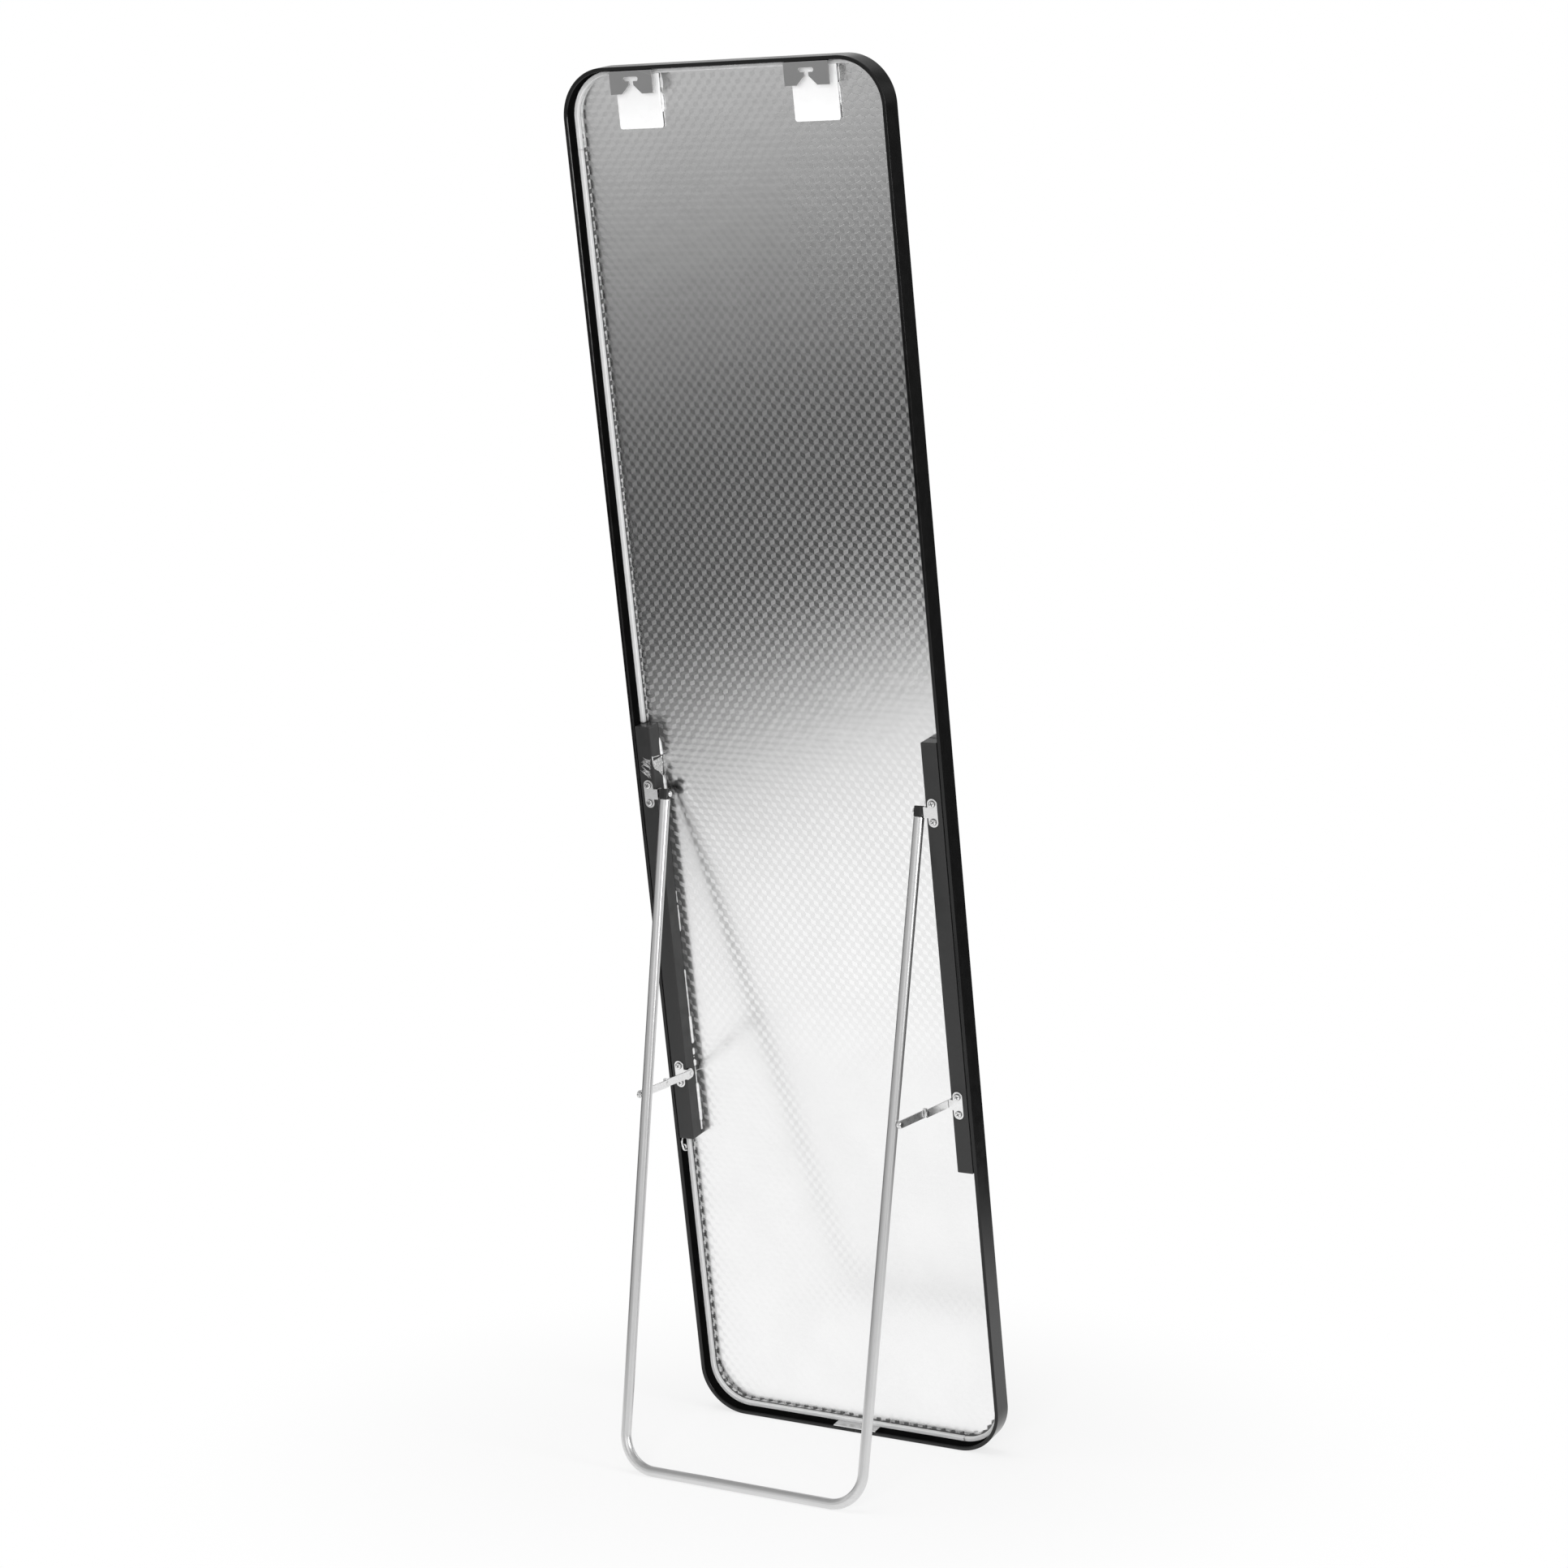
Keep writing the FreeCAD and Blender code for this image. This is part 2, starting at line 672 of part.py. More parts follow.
# Pan-head screw with a cross recess, drawn along X with its head above the origin
def make_screw():
    body = new_body("screw_pattern")
    turn(body, [("-screw_depth", "0"), ("screw_head_height", "0"),
                ("screw_head_height", "screw_head_radius"), ("0", "screw_head_radius"),
                ("0", "screw_radius"), ("-screw_depth", "screw_radius")])
    round_edges(body, "head_round", ring_at("x", size("screw_head_height")))
    for across, up in (("recess_half", "recess_side"), ("recess_side", "recess_half")):
        arm = rectangle(body, "YZ_Plane", "-" + across, across, "-" + up, up, "screw_head_height")
        pocket(body, arm, "recess_depth")
    return body


def make_screws(name, pattern, height):
    group = []
    for label, side in SIDES:
        for end in (1, -1):
            spot = Vector(side * size("plate_mid"), size("bracket_thickness"),
                          size(height) + end * size("screw_half"))
            upright = Rotation(Vector(0, 0, 1), 90) * Rotation(ACROSS, 20 * side + 35 * end)
            copy = pattern.Shape.copy()
            copy.Placement = Placement(spot, upright)
            group.append(copy)
    piece = doc.addObject("Part::Feature", name)
    piece.Label = name
    piece.Shape = Part.makeCompound(group)
    finish(piece)


# Turned pivots, drawn from their inner to their outer end along X
def make_pivot(name, side, place, profile, rounding=None):
    body = new_body(name)
    turn(body, [(on_side(side, across), up) for across, up in profile])
    if rounding:
        radius, spot = rounding
        round_edges(body, radius, ring_at("x", side * size(spot)))
    finish(body, place)


def make_hinge_pin(name, side):
    make_pivot(name, side, STAND, [
        ("pin_head_end", "0"), ("pin_head_end", "pin_head_radius"),
        ("plug_inner", "pin_head_radius"), ("plug_inner", "pin_radius"),
        ("tail_start", "pin_radius"), ("tail_start", "tail_radius"),
        ("tail_end", "tail_radius"), ("tail_end", "0")], ("pin_head_round", "pin_head_end"))


def make_ear_rivet(name, side):
    make_pivot(name, side, LEAN * Placement(Vector(0, size("-pivot_depth"), size("stay_height")),
                                            Rotation()), [
        ("ear_head_end", "0"), ("ear_head_end", "tail_radius"),
        ("ear_head_start", "tail_radius"), ("ear_head_start", "pin_radius"),
        ("ear_outer", "pin_radius"), ("ear_outer", "tail_radius"),
        ("tail_end", "tail_radius"), ("tail_end", "0")])


def make_knuckle(name, side, front):
    if front:
        place = STAY * Placement(Vector(0, link_front, 0), Rotation())
        profile = [("knuckle_front_end", "0"), ("knuckle_front_end", "pin_radius"),
                   ("front_outer", "pin_radius"), ("front_outer", "tail_radius"),
                   ("front_tail_end", "tail_radius"), ("front_tail_end", "0")]
    else:
        place = LEG_RIVET * Placement(Vector(0, link_back, 0), Rotation())
        profile = [("back_head_end", "0"), ("back_head_end", "tail_radius"),
                   ("back_inner", "tail_radius"), ("back_inner", "pin_radius"),
                   ("knuckle_back_end", "pin_radius"), ("knuckle_back_end", "0")]
    make_pivot(name, side, place, profile)


def make_leg_rivet(name, side):
    place = STAND * Placement(Vector(0, 0, -rivet_drop), Rotation())
    make_pivot(name, side, place, [
        ("shank_start", "0"), ("shank_start", "pin_radius"), ("collar_start", "pin_radius"),
        ("collar_start", "collar_radius"), ("collar_end", "collar_radius"),
        ("collar_end", "pin_radius"), ("leg_head_start", "pin_radius"),
        ("leg_head_start", "leg_head_radius"), ("leg_head_end", "leg_head_radius"),
        ("leg_head_end", "0")], ("leg_head_round", "leg_head_end"))


# Stay links: flat bars with round ends, the front one with a bent stop over the rear one
def make_link(name, side, place, inner, length, end):
    body = new_body(name)
    bar = rectangle(body, "YZ_Plane", "-link_half", end, "-link_half", "link_half",
                    on_side(side, inner))
    pad(body, bar, "link_thickness", turned=side < 0)
    ends = along("x", y=(size(end), size("-link_half")))
    round_edges(body, "link_round", ends)
    holes = circles(body, "YZ_Plane", [("0", "0"), (length, "0")], "pin_hole",
                    on_side(side, "rail_outer"))
    pocket(body, holes)
    if length == "link_front":
        lug = rectangle(body, "YZ_Plane", "stop_near", "stop_far", "0", "stop_top",
                        on_side(side, inner))
        pad(body, lug, "link_thickness", turned=side < 0)
        pocket(body, circles(body, "YZ_Plane", [(length, "0")], "pin_hole",
                             on_side(side, "rail_outer")))
        stop = rectangle(body, "YZ_Plane", "stop_near", "stop_far", "stop_low", "stop_top",
                         on_side(side, "front_outer"))
        pad(body, stop, "stop_reach", turned=side > 0)
    finish(body, place)


# Stand: one bent tube, drawn from its hinge axis down, with a plug in each open end
def make_stand():
    body = new_body("stand_tube")
    slope = math.atan2(size("leg_taper"), size("leg_length"))
    turn_in = math.pi / 2 - slope
    radius = size("bend_radius")
    corner = Vector(size("leg_low"), -size("leg_length"), 0)
    reach = radius / math.tan((math.pi / 2 + slope) / 2)
    leg_up = Vector(math.sin(slope), math.cos(slope), 0)
    start = Vector(size("leg_top"), 0, 0) - leg_up * (size("plug_below") / math.cos(slope))
    bend_in = corner + leg_up * reach
    bend_out = corner - Vector(reach, 0, 0)
    middle = bend_out + Vector(0, radius, 0)
    half_turn = -math.pi / 2 + turn_in / 2
    bend_mid = middle + Vector(math.cos(half_turn), math.sin(half_turn), 0) * radius

    def mirrored(point):
        return Vector(-point.x, point.y, 0)

    path = new_sketch(body, "XZ_Plane")
    path.addGeometry([
        Part.LineSegment(start, bend_in), Part.Arc(bend_in, bend_mid, bend_out),
        Part.LineSegment(bend_out, mirrored(bend_out)),
        Part.Arc(mirrored(bend_out), mirrored(bend_mid), mirrored(bend_in)),
        Part.LineSegment(mirrored(bend_in), mirrored(start))], False)
    for joint in range(4):
        ends = []
        for geometry in (joint, joint + 1):
            points = [path.getPoint(geometry, 1), path.getPoint(geometry, 2)]
            target = [bend_in, bend_out, mirrored(bend_out), mirrored(bend_in)][joint]
            ends.append(1 if (points[0] - target).Length < (points[1] - target).Length else 2)
        path.addConstraint(Sketcher.Constraint("Tangent", joint, ends[0], joint + 1, ends[1]))
    path.addConstraint(Sketcher.Constraint("Horizontal", 2))
    path.addConstraint(Sketcher.Constraint("Equal", 1, 3))
    path.addConstraint(Sketcher.Constraint("Symmetric", 0, 1, 4, 2, -2))
    index = path.addConstraint(Sketcher.Constraint("Radius", 1, radius))
    path.setExpression("Constraints[%d]" % index, "Sizes.bend_radius")
    index = path.addConstraint(
        Sketcher.Constraint("DistanceY", 2, 1, -1, 1, size("leg_length")))
    path.setExpression("Constraints[%d]" % index, "Sizes.leg_length")
    index = path.addConstraint(Sketcher.Constraint("DistanceY", 0, 1, -1, 1, size("plug_below")))
    path.setExpression("Constraints[%d]" % index, "Sizes.plug_below")
    index = path.addConstraint(Sketcher.Constraint("DistanceX", -1, 1, 0, 1, start.x))
    path.setExpression("Constraints[%d]" % index,
                       "Sizes.leg_top - Sizes.leg_taper * Sizes.plug_below / Sizes.leg_length")
    index = path.addConstraint(Sketcher.Constraint("DistanceX", -1, 1, 1, 3, middle.x))
    path.setExpression("Constraints[%d]" % index, "Sizes.bend_middle")

    ring = body.newObject("Sketcher::SketchObject", "stand_tube_ring")
    ring.AttachmentSupport = [(path, "Edge1")]
    ring.MapMode = "NormalToEdge"
    for number, radius_name in enumerate(("tube_radius", "tube_bore")):
        ring.addGeometry(Part.Circle(Vector(0, 0, 0), Vector(0, 0, 1), size(radius_name)), False)
        ring.addConstraint(Sketcher.Constraint("Coincident", number, 3, -1, 1))
        index = ring.addConstraint(Sketcher.Constraint("Radius", number, size(radius_name)))
        ring.setExpression("Constraints[%d]" % index, "Sizes." + radius_name)
    doc.recompute()
    sweep = body.newObject("PartDesign::AdditivePipe", "stand_tube_sweep")
    sweep.Profile = ring
    sweep.Spine = (path, ["Edge%d" % number for number in range(1, 6)])
    doc.recompute()
    for label, side in SIDES:
        hole = circles(body, "YZ_Plane", [("0", "-rivet_drop")], "pin_hole",
                       on_side(side, "leg_at_rivet"))
        cut = body.newObject("PartDesign::Pocket", "stand_tube_hole_" + label)
        cut.Profile = hole
        cut.setExpression("Length", "Sizes.rivet_hole_length")
        cut.Reversed = side > 0
        doc.recompute()
    finish(body, STAND)


def make_plug(name, side):
    body = new_body(name)
    block = rectangle(body, "XY_Plane", on_side(side, "plug_inner"), on_side(side, "plug_outer"),
                      "-plug_half_depth", "plug_half_depth", "-plug_below")
    pad(body, block, "plug_height")
    round_edges(body, "plug_corner", along("z"))
    round_edges(body, "plug_round", ring_at("z", size("plug_above")))
    stem = circles(body, "XY_Plane", [(on_side(side, "leg_top"), "0")], "stem_radius",
                   "-plug_below")
    pad(body, stem, "stem_length", turned=True)
    pivot = circles(body, "YZ_Plane", [("0", "0")], "pin_hole", on_side(side, "rail_outer"))
    pocket(body, pivot)
    finish(body, STAND)


# The bend's centre across the stand follows from the taper of the legs
slope_text = "atan(leg_taper / leg_length)"
row += 1
sheet.set("A%d" % row, "bend_middle")
sheet.setAlias("B%d" % row, "bend_middle")
sheet.set("B%d" % row, "=leg_low - bend_radius / tan((90 deg + %s) / 2)" % slope_text)
doc.recompute()

make_frame()
make_splice()
make_plate("mirror_glass", "glass_half", "glass_low", "glass_top", "glass_radius",
           "glass_depth", "glass_thickness")
make_plate("backing_film", "film_half", "film_low", "film_top", "film_radius",
           "film_depth", "film_thickness")
make_foam_lengths()
screw = make_screw()
make_screws("hinge_screws", screw, "hinge_height")
make_screws("stay_screws", screw, "stay_height")
make_stand()
for label, side in SIDES:
    make_hanger("hanger_" + label, side)
    make_pad("hanger_pad_" + label, side, "pad_shift_" + label)
    make_rail("rail_" + label, side)
    make_cap("rail_cap_top_" + label, side, "rail_top", -1)
    make_cap("rail_cap_low_" + label, side, "rail_low", 1)
    make_glue("glue_bead_" + label, side)
    make_bracket("hinge_bracket_" + label, side, "hinge_height")
    make_bracket("stay_bracket_" + label, side, "stay_height")
    make_plug("leg_plug_" + label, side)
    make_hinge_pin("hinge_pin_" + label, side)
    make_ear_rivet("ear_rivet_" + label, side)
    make_link("stay_link_front_" + label, side, STAY, "front_inner", "link_front", "front_end")
    make_knuckle("knuckle_front_" + label, side, True)
    make_link("stay_link_rear_" + label, side, LEG_RIVET, "back_inner", "link_back", "back_end")
    make_knuckle("knuckle_rear_" + label, side, False)
    make_leg_rivet("leg_rivet_" + label, side)
doc.recompute()

# Every object is checked before its solids are written
for item in doc.Objects:
    if "Invalid" in item.State or "Error" in item.State:
        raise RuntimeError("object did not build: " + item.Label)
os.makedirs("parts", exist_ok=True)
for piece in nodes:
    shape = piece.Shape
    if shape.isNull() or not shape.isValid() or shape.Volume <= 0:
        raise RuntimeError("bad solid: " + piece.Label)
    shape.exportStep("parts/%s.step" % piece.Label)
    box = shape.BoundBox
    print("%-24s %2d solid(s) %9.1f mm3  x %.1f..%.1f  y %.1f..%.1f  z %.1f..%.1f" % (
        piece.Label, len(shape.Solids), shape.Volume, box.XMin, box.XMax, box.YMin, box.YMax,
        box.ZMin, box.ZMax))

print("lean %.4f deg, stand open %.4f deg, folded %.4f deg" % (
    math.degrees(lean), math.degrees(opened), math.degrees(folded)))
print("link front %.3f mm, rear %.3f mm, rise %.4f deg" % (
    link_front, link_back, math.degrees(stay_rise)))
for title, place in (("lean", LEAN), ("hinge", STAND), ("stay ear", STAY),
                     ("leg rivet", LEG_RIVET)):
    print("%-10s origin %s" % (title, place.Base))
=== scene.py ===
import math

import bmesh
import bpy
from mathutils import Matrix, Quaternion, Vector, noise


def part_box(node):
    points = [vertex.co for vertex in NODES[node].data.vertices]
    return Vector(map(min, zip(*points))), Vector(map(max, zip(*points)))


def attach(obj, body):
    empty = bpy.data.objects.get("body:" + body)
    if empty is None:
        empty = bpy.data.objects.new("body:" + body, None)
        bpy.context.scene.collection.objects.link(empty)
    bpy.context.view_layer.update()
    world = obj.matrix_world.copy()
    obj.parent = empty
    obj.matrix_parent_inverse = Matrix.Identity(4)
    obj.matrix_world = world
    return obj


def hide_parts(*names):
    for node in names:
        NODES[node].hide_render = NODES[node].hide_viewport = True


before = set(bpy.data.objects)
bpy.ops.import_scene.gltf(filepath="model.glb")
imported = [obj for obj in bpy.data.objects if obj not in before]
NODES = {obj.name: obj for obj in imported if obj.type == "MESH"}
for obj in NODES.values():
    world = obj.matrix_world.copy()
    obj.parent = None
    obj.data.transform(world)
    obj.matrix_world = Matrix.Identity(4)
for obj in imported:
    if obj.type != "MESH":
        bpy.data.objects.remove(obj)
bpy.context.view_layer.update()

# Floor mirror seen from behind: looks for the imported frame.
# The mirror's own frame is in millimetres: u to the right as seen from behind, v up along the
# glass from the frame's lower edge, w out of the back from the frame's rear rim.
MM = 0.001
ACROSS = Vector((1, 0, 0))
film_face = max(NODES["backing_film"].data.polygons, key=lambda face: face.area)
OUT = film_face.normal * math.copysign(1, film_face.normal.y)
UP = ACROSS.cross(OUT)


def reach(node, direction):
    spans = [direction.dot(vertex.co) for vertex in NODES[node].data.vertices]
    return min(spans), max(spans)


EDGE = reach("frame_loop", UP)[0]
RIM = reach("frame_loop", OUT)[1]


def spot(u, v, w):
    return ACROSS * (-u * MM) + UP * (EDGE + v * MM) + OUT * (RIM + w * MM)


class Span:
    """Where a CAD node lies in the mirror's own frame."""

    def __init__(self, node):
        self.u = [u / MM for u in reach(node, -ACROSS)]
        self.v = [(v - EDGE) / MM for v in reach(node, UP)]
        self.w = [(w - RIM) / MM for w in reach(node, OUT)]


# The range that a noise texture mostly fills, and that of two added up
USUAL = (0.3, 0.7)
USUAL_SUM = (0.7, 1.3)


# Node trees
class Tree:
    """A node tree with short calls for the nodes used here."""

    def __init__(self, owner):
        owner.use_nodes = True
        self.nodes = owner.node_tree.nodes
        self.links = owner.node_tree.links
        self.nodes.clear()

    def feed(self, socket, value):
        if isinstance(value, bpy.types.NodeSocket):
            self.links.new(value, socket)
        else:
            socket.default_value = value

    def add(self, kind, inputs=(), **settings):
        node = self.nodes.new("ShaderNode" + kind)
        for name, value in settings.items():
            setattr(node, name, value)
        for name, value in dict(inputs).items():
            self.feed(node.inputs[name], value)
        return node

    def calc(self, operation, *values):
        node = self.add("Math", operation=operation)
        for socket, value in zip(node.inputs, values):
            self.feed(socket, value)
        return node.outputs[0]

    def total(self, *values):
        result = values[0]
        for value in values[1:]:
            result = self.calc("ADD", result, value)
        return result

    def place(self, stretch=(1, 1, 1)):
        where = self.add("TexCoord").outputs["Object"]
        if stretch == (1, 1, 1):
            return where
        return self.add("Mapping", {"Vector": where, "Scale": stretch}).outputs[0]

    def along(self, direction, where=None):
        where = where or self.place()
        node = self.add("VectorMath", operation="DOT_PRODUCT")
        self.feed(node.inputs[0], where)
        self.feed(node.inputs[1], direction)
        return node.outputs["Value"]

    def noise(self, scale, detail=3.0, roughness=0.55, stretch=(1, 1, 1), where=None):
        inputs = {"Vector": where or self.place(stretch), "Scale": scale, "Detail": detail,
                  "Roughness": roughness}
        return self.add("TexNoise", inputs).outputs["Fac"]

    def spread(self, value, low, high, to_low=0.0, to_high=1.0, smooth=True):
        inputs = {"Value": value, "From Min": low, "From Max": high, "To Min": to_low,
                  "To Max": to_high}
        kind = "SMOOTHSTEP" if smooth else "LINEAR"
        return self.add("MapRange", inputs, interpolation_type=kind).outputs["Result"]

    def grey(self, level):
        node = self.add("CombineColor")
        for socket in node.inputs:
            self.feed(socket, level)
        return node.outputs["Color"]

    def bump(self, height, strength, distance):
        inputs = {"Height": height, "Strength": strength, "Distance": distance}
        return self.add("Bump", inputs).outputs["Normal"]

    def surface(self, colour, roughness, normal=None, **fixed):
        shader = self.add("BsdfPrincipled", {"Base Color": colour, "Roughness": roughness})
        for name, value in fixed.items():
            self.feed(shader.inputs[name.replace("_", " ")], value)
        if normal is not None:
            self.feed(shader.inputs["Normal"], normal)
        out = self.add("OutputMaterial")
        self.links.new(shader.outputs[0], out.inputs["Surface"])
        return shader


def new_material(name):
    material = bpy.data.materials.new(name)
    return material, Tree(material)


def flat_place(tree):
    """Place across and up the mirror's back, in millimetres."""
    u = tree.calc("MULTIPLY", tree.along(-ACROSS), 1 / MM)
    v = tree.calc("MULTIPLY", tree.calc("SUBTRACT", tree.along(UP), EDGE), 1 / MM)
    return u, v


# Plain finishes: a grey level with mottling, a roughness that varies and a fine grain
def finish(name, level, roughness, mottle=0.1, mottle_scale=60.0, grain=0.1, grain_scale=900.0,
           stretch=(1, 1, 1), grain_depth=0.0002, rough_change=0.25, **fixed):
    material, tree = new_material(name)
    cloud = tree.noise(mottle_scale, 4.0, stretch=stretch)
    fine = tree.noise(grain_scale, 2.0, stretch=stretch)
    colour = tree.grey(tree.spread(cloud, *USUAL, level * (1 - mottle), level * (1 + mottle)))
    rough = tree.spread(tree.total(cloud, fine), *USUAL_SUM, roughness * (1 - rough_change),
                        roughness * (1 + rough_change))
    tree.surface(colour, rough, tree.bump(fine, grain, grain_depth), **fixed)
    return material


# Film pattern: tumbling cubes, each a top diamond over a left and a right face
CUBE_WIDTH = 12.335
CUBE_PITCH = 15.337
DIAMOND_HALF = 2.5
CUBE_EDGE = CUBE_PITCH / 2 - DIAMOND_HALF
CUBE_U = 1.905
CUBE_V = 14.281
# The film lies a little askew on the glass
FILM_SKEW_U = (1.00217, -0.00167)
FILM_SKEW_V = (0.01284, 1.00501)
# Grey level all over, then values for the left, right and top faces
FILM_LEVEL = 0.915
FILM_TURNS = (10.0, 116.5, 66.0)
FILM_LEANS = ((0.0, 0.0), (0.004, -0.0095), (-0.003, 0.0))
FILM_ROUGHNESS = (0.195, 0.214, 0.2)
FILM_STRETCH = (1.0, 0.67, 0.5)
# Painted light: changes to each face's grey level high up and round the waist, standing in for how
# bright its reflection looks there
FILM_TOP_PAINTED_LIGHT = (-0.085, 0.04, 0.035)
FILM_WAIST_PAINTED_LIGHT = (0.055, -0.035, -0.035)
# How far the painted shade beside the foam reaches on the left, right and top faces
FILM_SHADE_REACH = (1.4, -0.9, 2.2)
# Heights, and for the lit corner a place across too, between which the film's painted light and its
# pressed edges change
FILM_TOP = (1260.0, 1500.0)
FILM_WAIST = ((430.0, 580.0), (740.0, 880.0))
FILM_LIT_CORNER = ((20.0, 150.0), (1250.0, 1480.0))
# Inner edge of the foam strip, and the dark border of painted shade beside it, which ends near the
# top
FILM_SIDE = 190.4
FILM_LOW = 9.6
FILM_HIGH = 1590.4
FILM_CORNER = 45.4
FILM_BORDER = (1.8, 5.0)
FILM_BORDER_END = (1500.0, 1560.0)
FILM_SHADE_LEVEL = 0.16
# A distance past every edge of a cube and past the border
FILM_BEYOND = 9.0
# Pressed edges: distances between which their roughness fades, and its share at each of the two
LOWER_EDGE = (0.15, 0.5, 1.0, 0.0)
FRONT_EDGE = (0.1, 0.4, 0.6, 0.0)
EDGE_ROUGHER = 0.35
# Noise scales, and how much blotches and specks change the grey level
BLOTCH_SCALE = 14.0
SPECK_SCALE = 700.0
SHADE_EDGE_SCALE = 300.0
RIPPLE_SCALE = 55.0
BLOTCH_CHANGE = 0.012
SPECK_CHANGE = 0.015


def cube_cell(tree):
    """Place within the nearest cube, from its front corner: across and up, in millimetres."""
    u, v = flat_place(tree)
    askew = [tree.calc("MULTIPLY_ADD", u, skew[0], tree.calc("MULTIPLY", v, skew[1]))
             for skew in (FILM_SKEW_U, FILM_SKEW_V)]
    half = CUBE_WIDTH / 2
    slack = (CUBE_PITCH - 2 * DIAMOND_HALF - CUBE_EDGE) / 2
    found = []
    for shift in (0.0, 0.5):
        across = tree.calc("SUBTRACT", askew[0], CUBE_U + shift * CUBE_WIDTH)
        up = tree.calc("SUBTRACT", askew[1], CUBE_V + shift * CUBE_PITCH)
        across = tree.calc("WRAP", across, half, -half)
        up = tree.calc("WRAP", up, 2 * DIAMOND_HALF + slack, -CUBE_EDGE - slack)
        found.append((across, up))
    slope = tree.calc("MULTIPLY", tree.calc("ABSOLUTE", found[0][0]), DIAMOND_HALF / half)
    below = tree.calc("LESS_THAN", tree.calc("ADD", found[0][1], slope), 2 * DIAMOND_HALF)
    above = tree.calc("GREATER_THAN", tree.calc("SUBTRACT", found[0][1], slope), -CUBE_EDGE)
    first = tree.calc("MULTIPLY", below, above)
    cell = []
    for one, other in zip(*found):
        gap = tree.calc("SUBTRACT", one, other)
        cell.append(tree.calc("MULTIPLY_ADD", gap, first, other))
    return u, v, cell[0], cell[1]


def by_face(tree, masks, values):
    """The value that belongs to the face at hand: left, right or top."""
    return tree.total(*[tree.calc("MULTIPLY", mask, value) for mask, value in zip(masks, values)])


def film_border(tree, u, v):
    """How far inside the foam strip's inner edge a place lies, in millimetres."""
    middle = (FILM_LOW + FILM_HIGH) / 2
    sides = ((u, FILM_SIDE), (tree.calc("SUBTRACT", v, middle), FILM_HIGH - middle))
    past = []
    for place, side in sides:
        beyond = tree.calc("SUBTRACT", tree.calc("ABSOLUTE", place), side - FILM_CORNER)
        past.append(tree.calc("MAXIMUM", beyond, 0.0))
    corner = tree.add("CombineXYZ", {0: past[0], 1: past[1]})
    away = tree.add("VectorMath", {0: corner.outputs[0]}, operation="LENGTH").outputs["Value"]
    return tree.calc("SUBTRACT", FILM_CORNER, away)


def make_film():
    material, tree = new_material("silver_film")
    u, v, across, up = cube_cell(tree)
    slope = tree.calc("MULTIPLY", tree.calc("ABSOLUTE", across), 2 * DIAMOND_HALF / CUBE_WIDTH)
    over = tree.calc("SUBTRACT", up, slope)
    top = tree.calc("GREATER_THAN", over, 0.0)
    side = tree.calc("SUBTRACT", 1.0, top)
    right = tree.calc("MULTIPLY", side, tree.calc("GREATER_THAN", across, 0.0))
    left = tree.calc("SUBTRACT", side, right)
    masks = (left, right, top)
    # Each face is ruled in its own direction, spreads a reflection along it and leans a little
    turns = [math.radians(angle) for angle in FILM_TURNS]
    ruled = [ACROSS * -math.cos(turn) + UP * math.sin(turn) for turn in turns]
    leans = [(OUT - ACROSS * lean[0] + UP * lean[1]).normalized() for lean in FILM_LEANS]
    lines = tree.add("CombineXYZ")
    facing = tree.add("CombineXYZ")
    for axis in range(3):
        tree.feed(lines.inputs[axis], by_face(tree, masks, [way[axis] for way in ruled]))
        tree.feed(facing.inputs[axis], by_face(tree, masks, [way[axis] for way in leans]))
    blotch = tree.noise(BLOTCH_SCALE)
    speck = tree.noise(SPECK_SCALE)
    # Pressed edges of the cubes catch the light towards the upper right corner
    below = tree.calc("ABSOLUTE", tree.calc("ADD", over, CUBE_EDGE))
    front = tree.calc("ADD", tree.calc("ABSOLUTE", across), tree.calc("MULTIPLY", top, FILM_BEYOND))
    edge = tree.calc("MAXIMUM", tree.spread(below, *LOWER_EDGE), tree.spread(front, *FRONT_EDGE))
    lit_u, lit_v = FILM_LIT_CORNER
    corner = tree.calc("MULTIPLY", tree.spread(u, *lit_u), tree.spread(v, *lit_v))
    edge = tree.calc("MULTIPLY", edge, corner)
    # Painted light: each face is lightened or darkened high up and round the waist, in place of the
    # brightness of its reflection there
    painted_light = tree.calc("MULTIPLY", by_face(tree, masks, FILM_TOP_PAINTED_LIGHT), tree.spread(v, *FILM_TOP))
    rise, fall = FILM_WAIST
    waist = tree.calc("MULTIPLY", tree.spread(v, *rise), tree.spread(v, *fall, 1.0, 0.0))
    painted_light = tree.calc("MULTIPLY_ADD", by_face(tree, masks, FILM_WAIST_PAINTED_LIGHT), waist, painted_light)
    plain = tree.spread(blotch, *USUAL, FILM_LEVEL - BLOTCH_CHANGE, FILM_LEVEL + BLOTCH_CHANGE)
    level = tree.total(painted_light, plain, tree.spread(speck, 0.25, 0.75, -SPECK_CHANGE, SPECK_CHANGE))
    # Painted shade: a dark border with a ragged edge beside the foam, reaching further on some
    # faces, stands for the shade and the frame's dark reflection there
    inside = tree.total(film_border(tree, u, v), by_face(tree, masks, FILM_SHADE_REACH),
                        tree.spread(tree.noise(SHADE_EDGE_SCALE), *USUAL, -0.5, 0.5),
                        tree.spread(v, *FILM_BORDER_END, 0.0, FILM_BEYOND))
    level = tree.calc("MULTIPLY", level, tree.spread(inside, *FILM_BORDER, FILM_SHADE_LEVEL, 1.0))
    rough = tree.total(by_face(tree, masks, FILM_ROUGHNESS),
                       tree.spread(speck, *USUAL, -0.01, 0.01),
                       tree.calc("MULTIPLY", edge, EDGE_ROUGHER))
    inputs = {"Height": tree.noise(RIPPLE_SCALE, 2.0), "Strength": 0.04, "Distance": 0.002,
              "Normal": facing.outputs[0]}
    ripple = tree.add("Bump", inputs).outputs["Normal"]
    tree.surface(tree.grey(level), rough, ripple, Metallic=1.0,
                 Anisotropic=by_face(tree, masks, FILM_STRETCH), Tangent=lines.outputs[0])
    return material


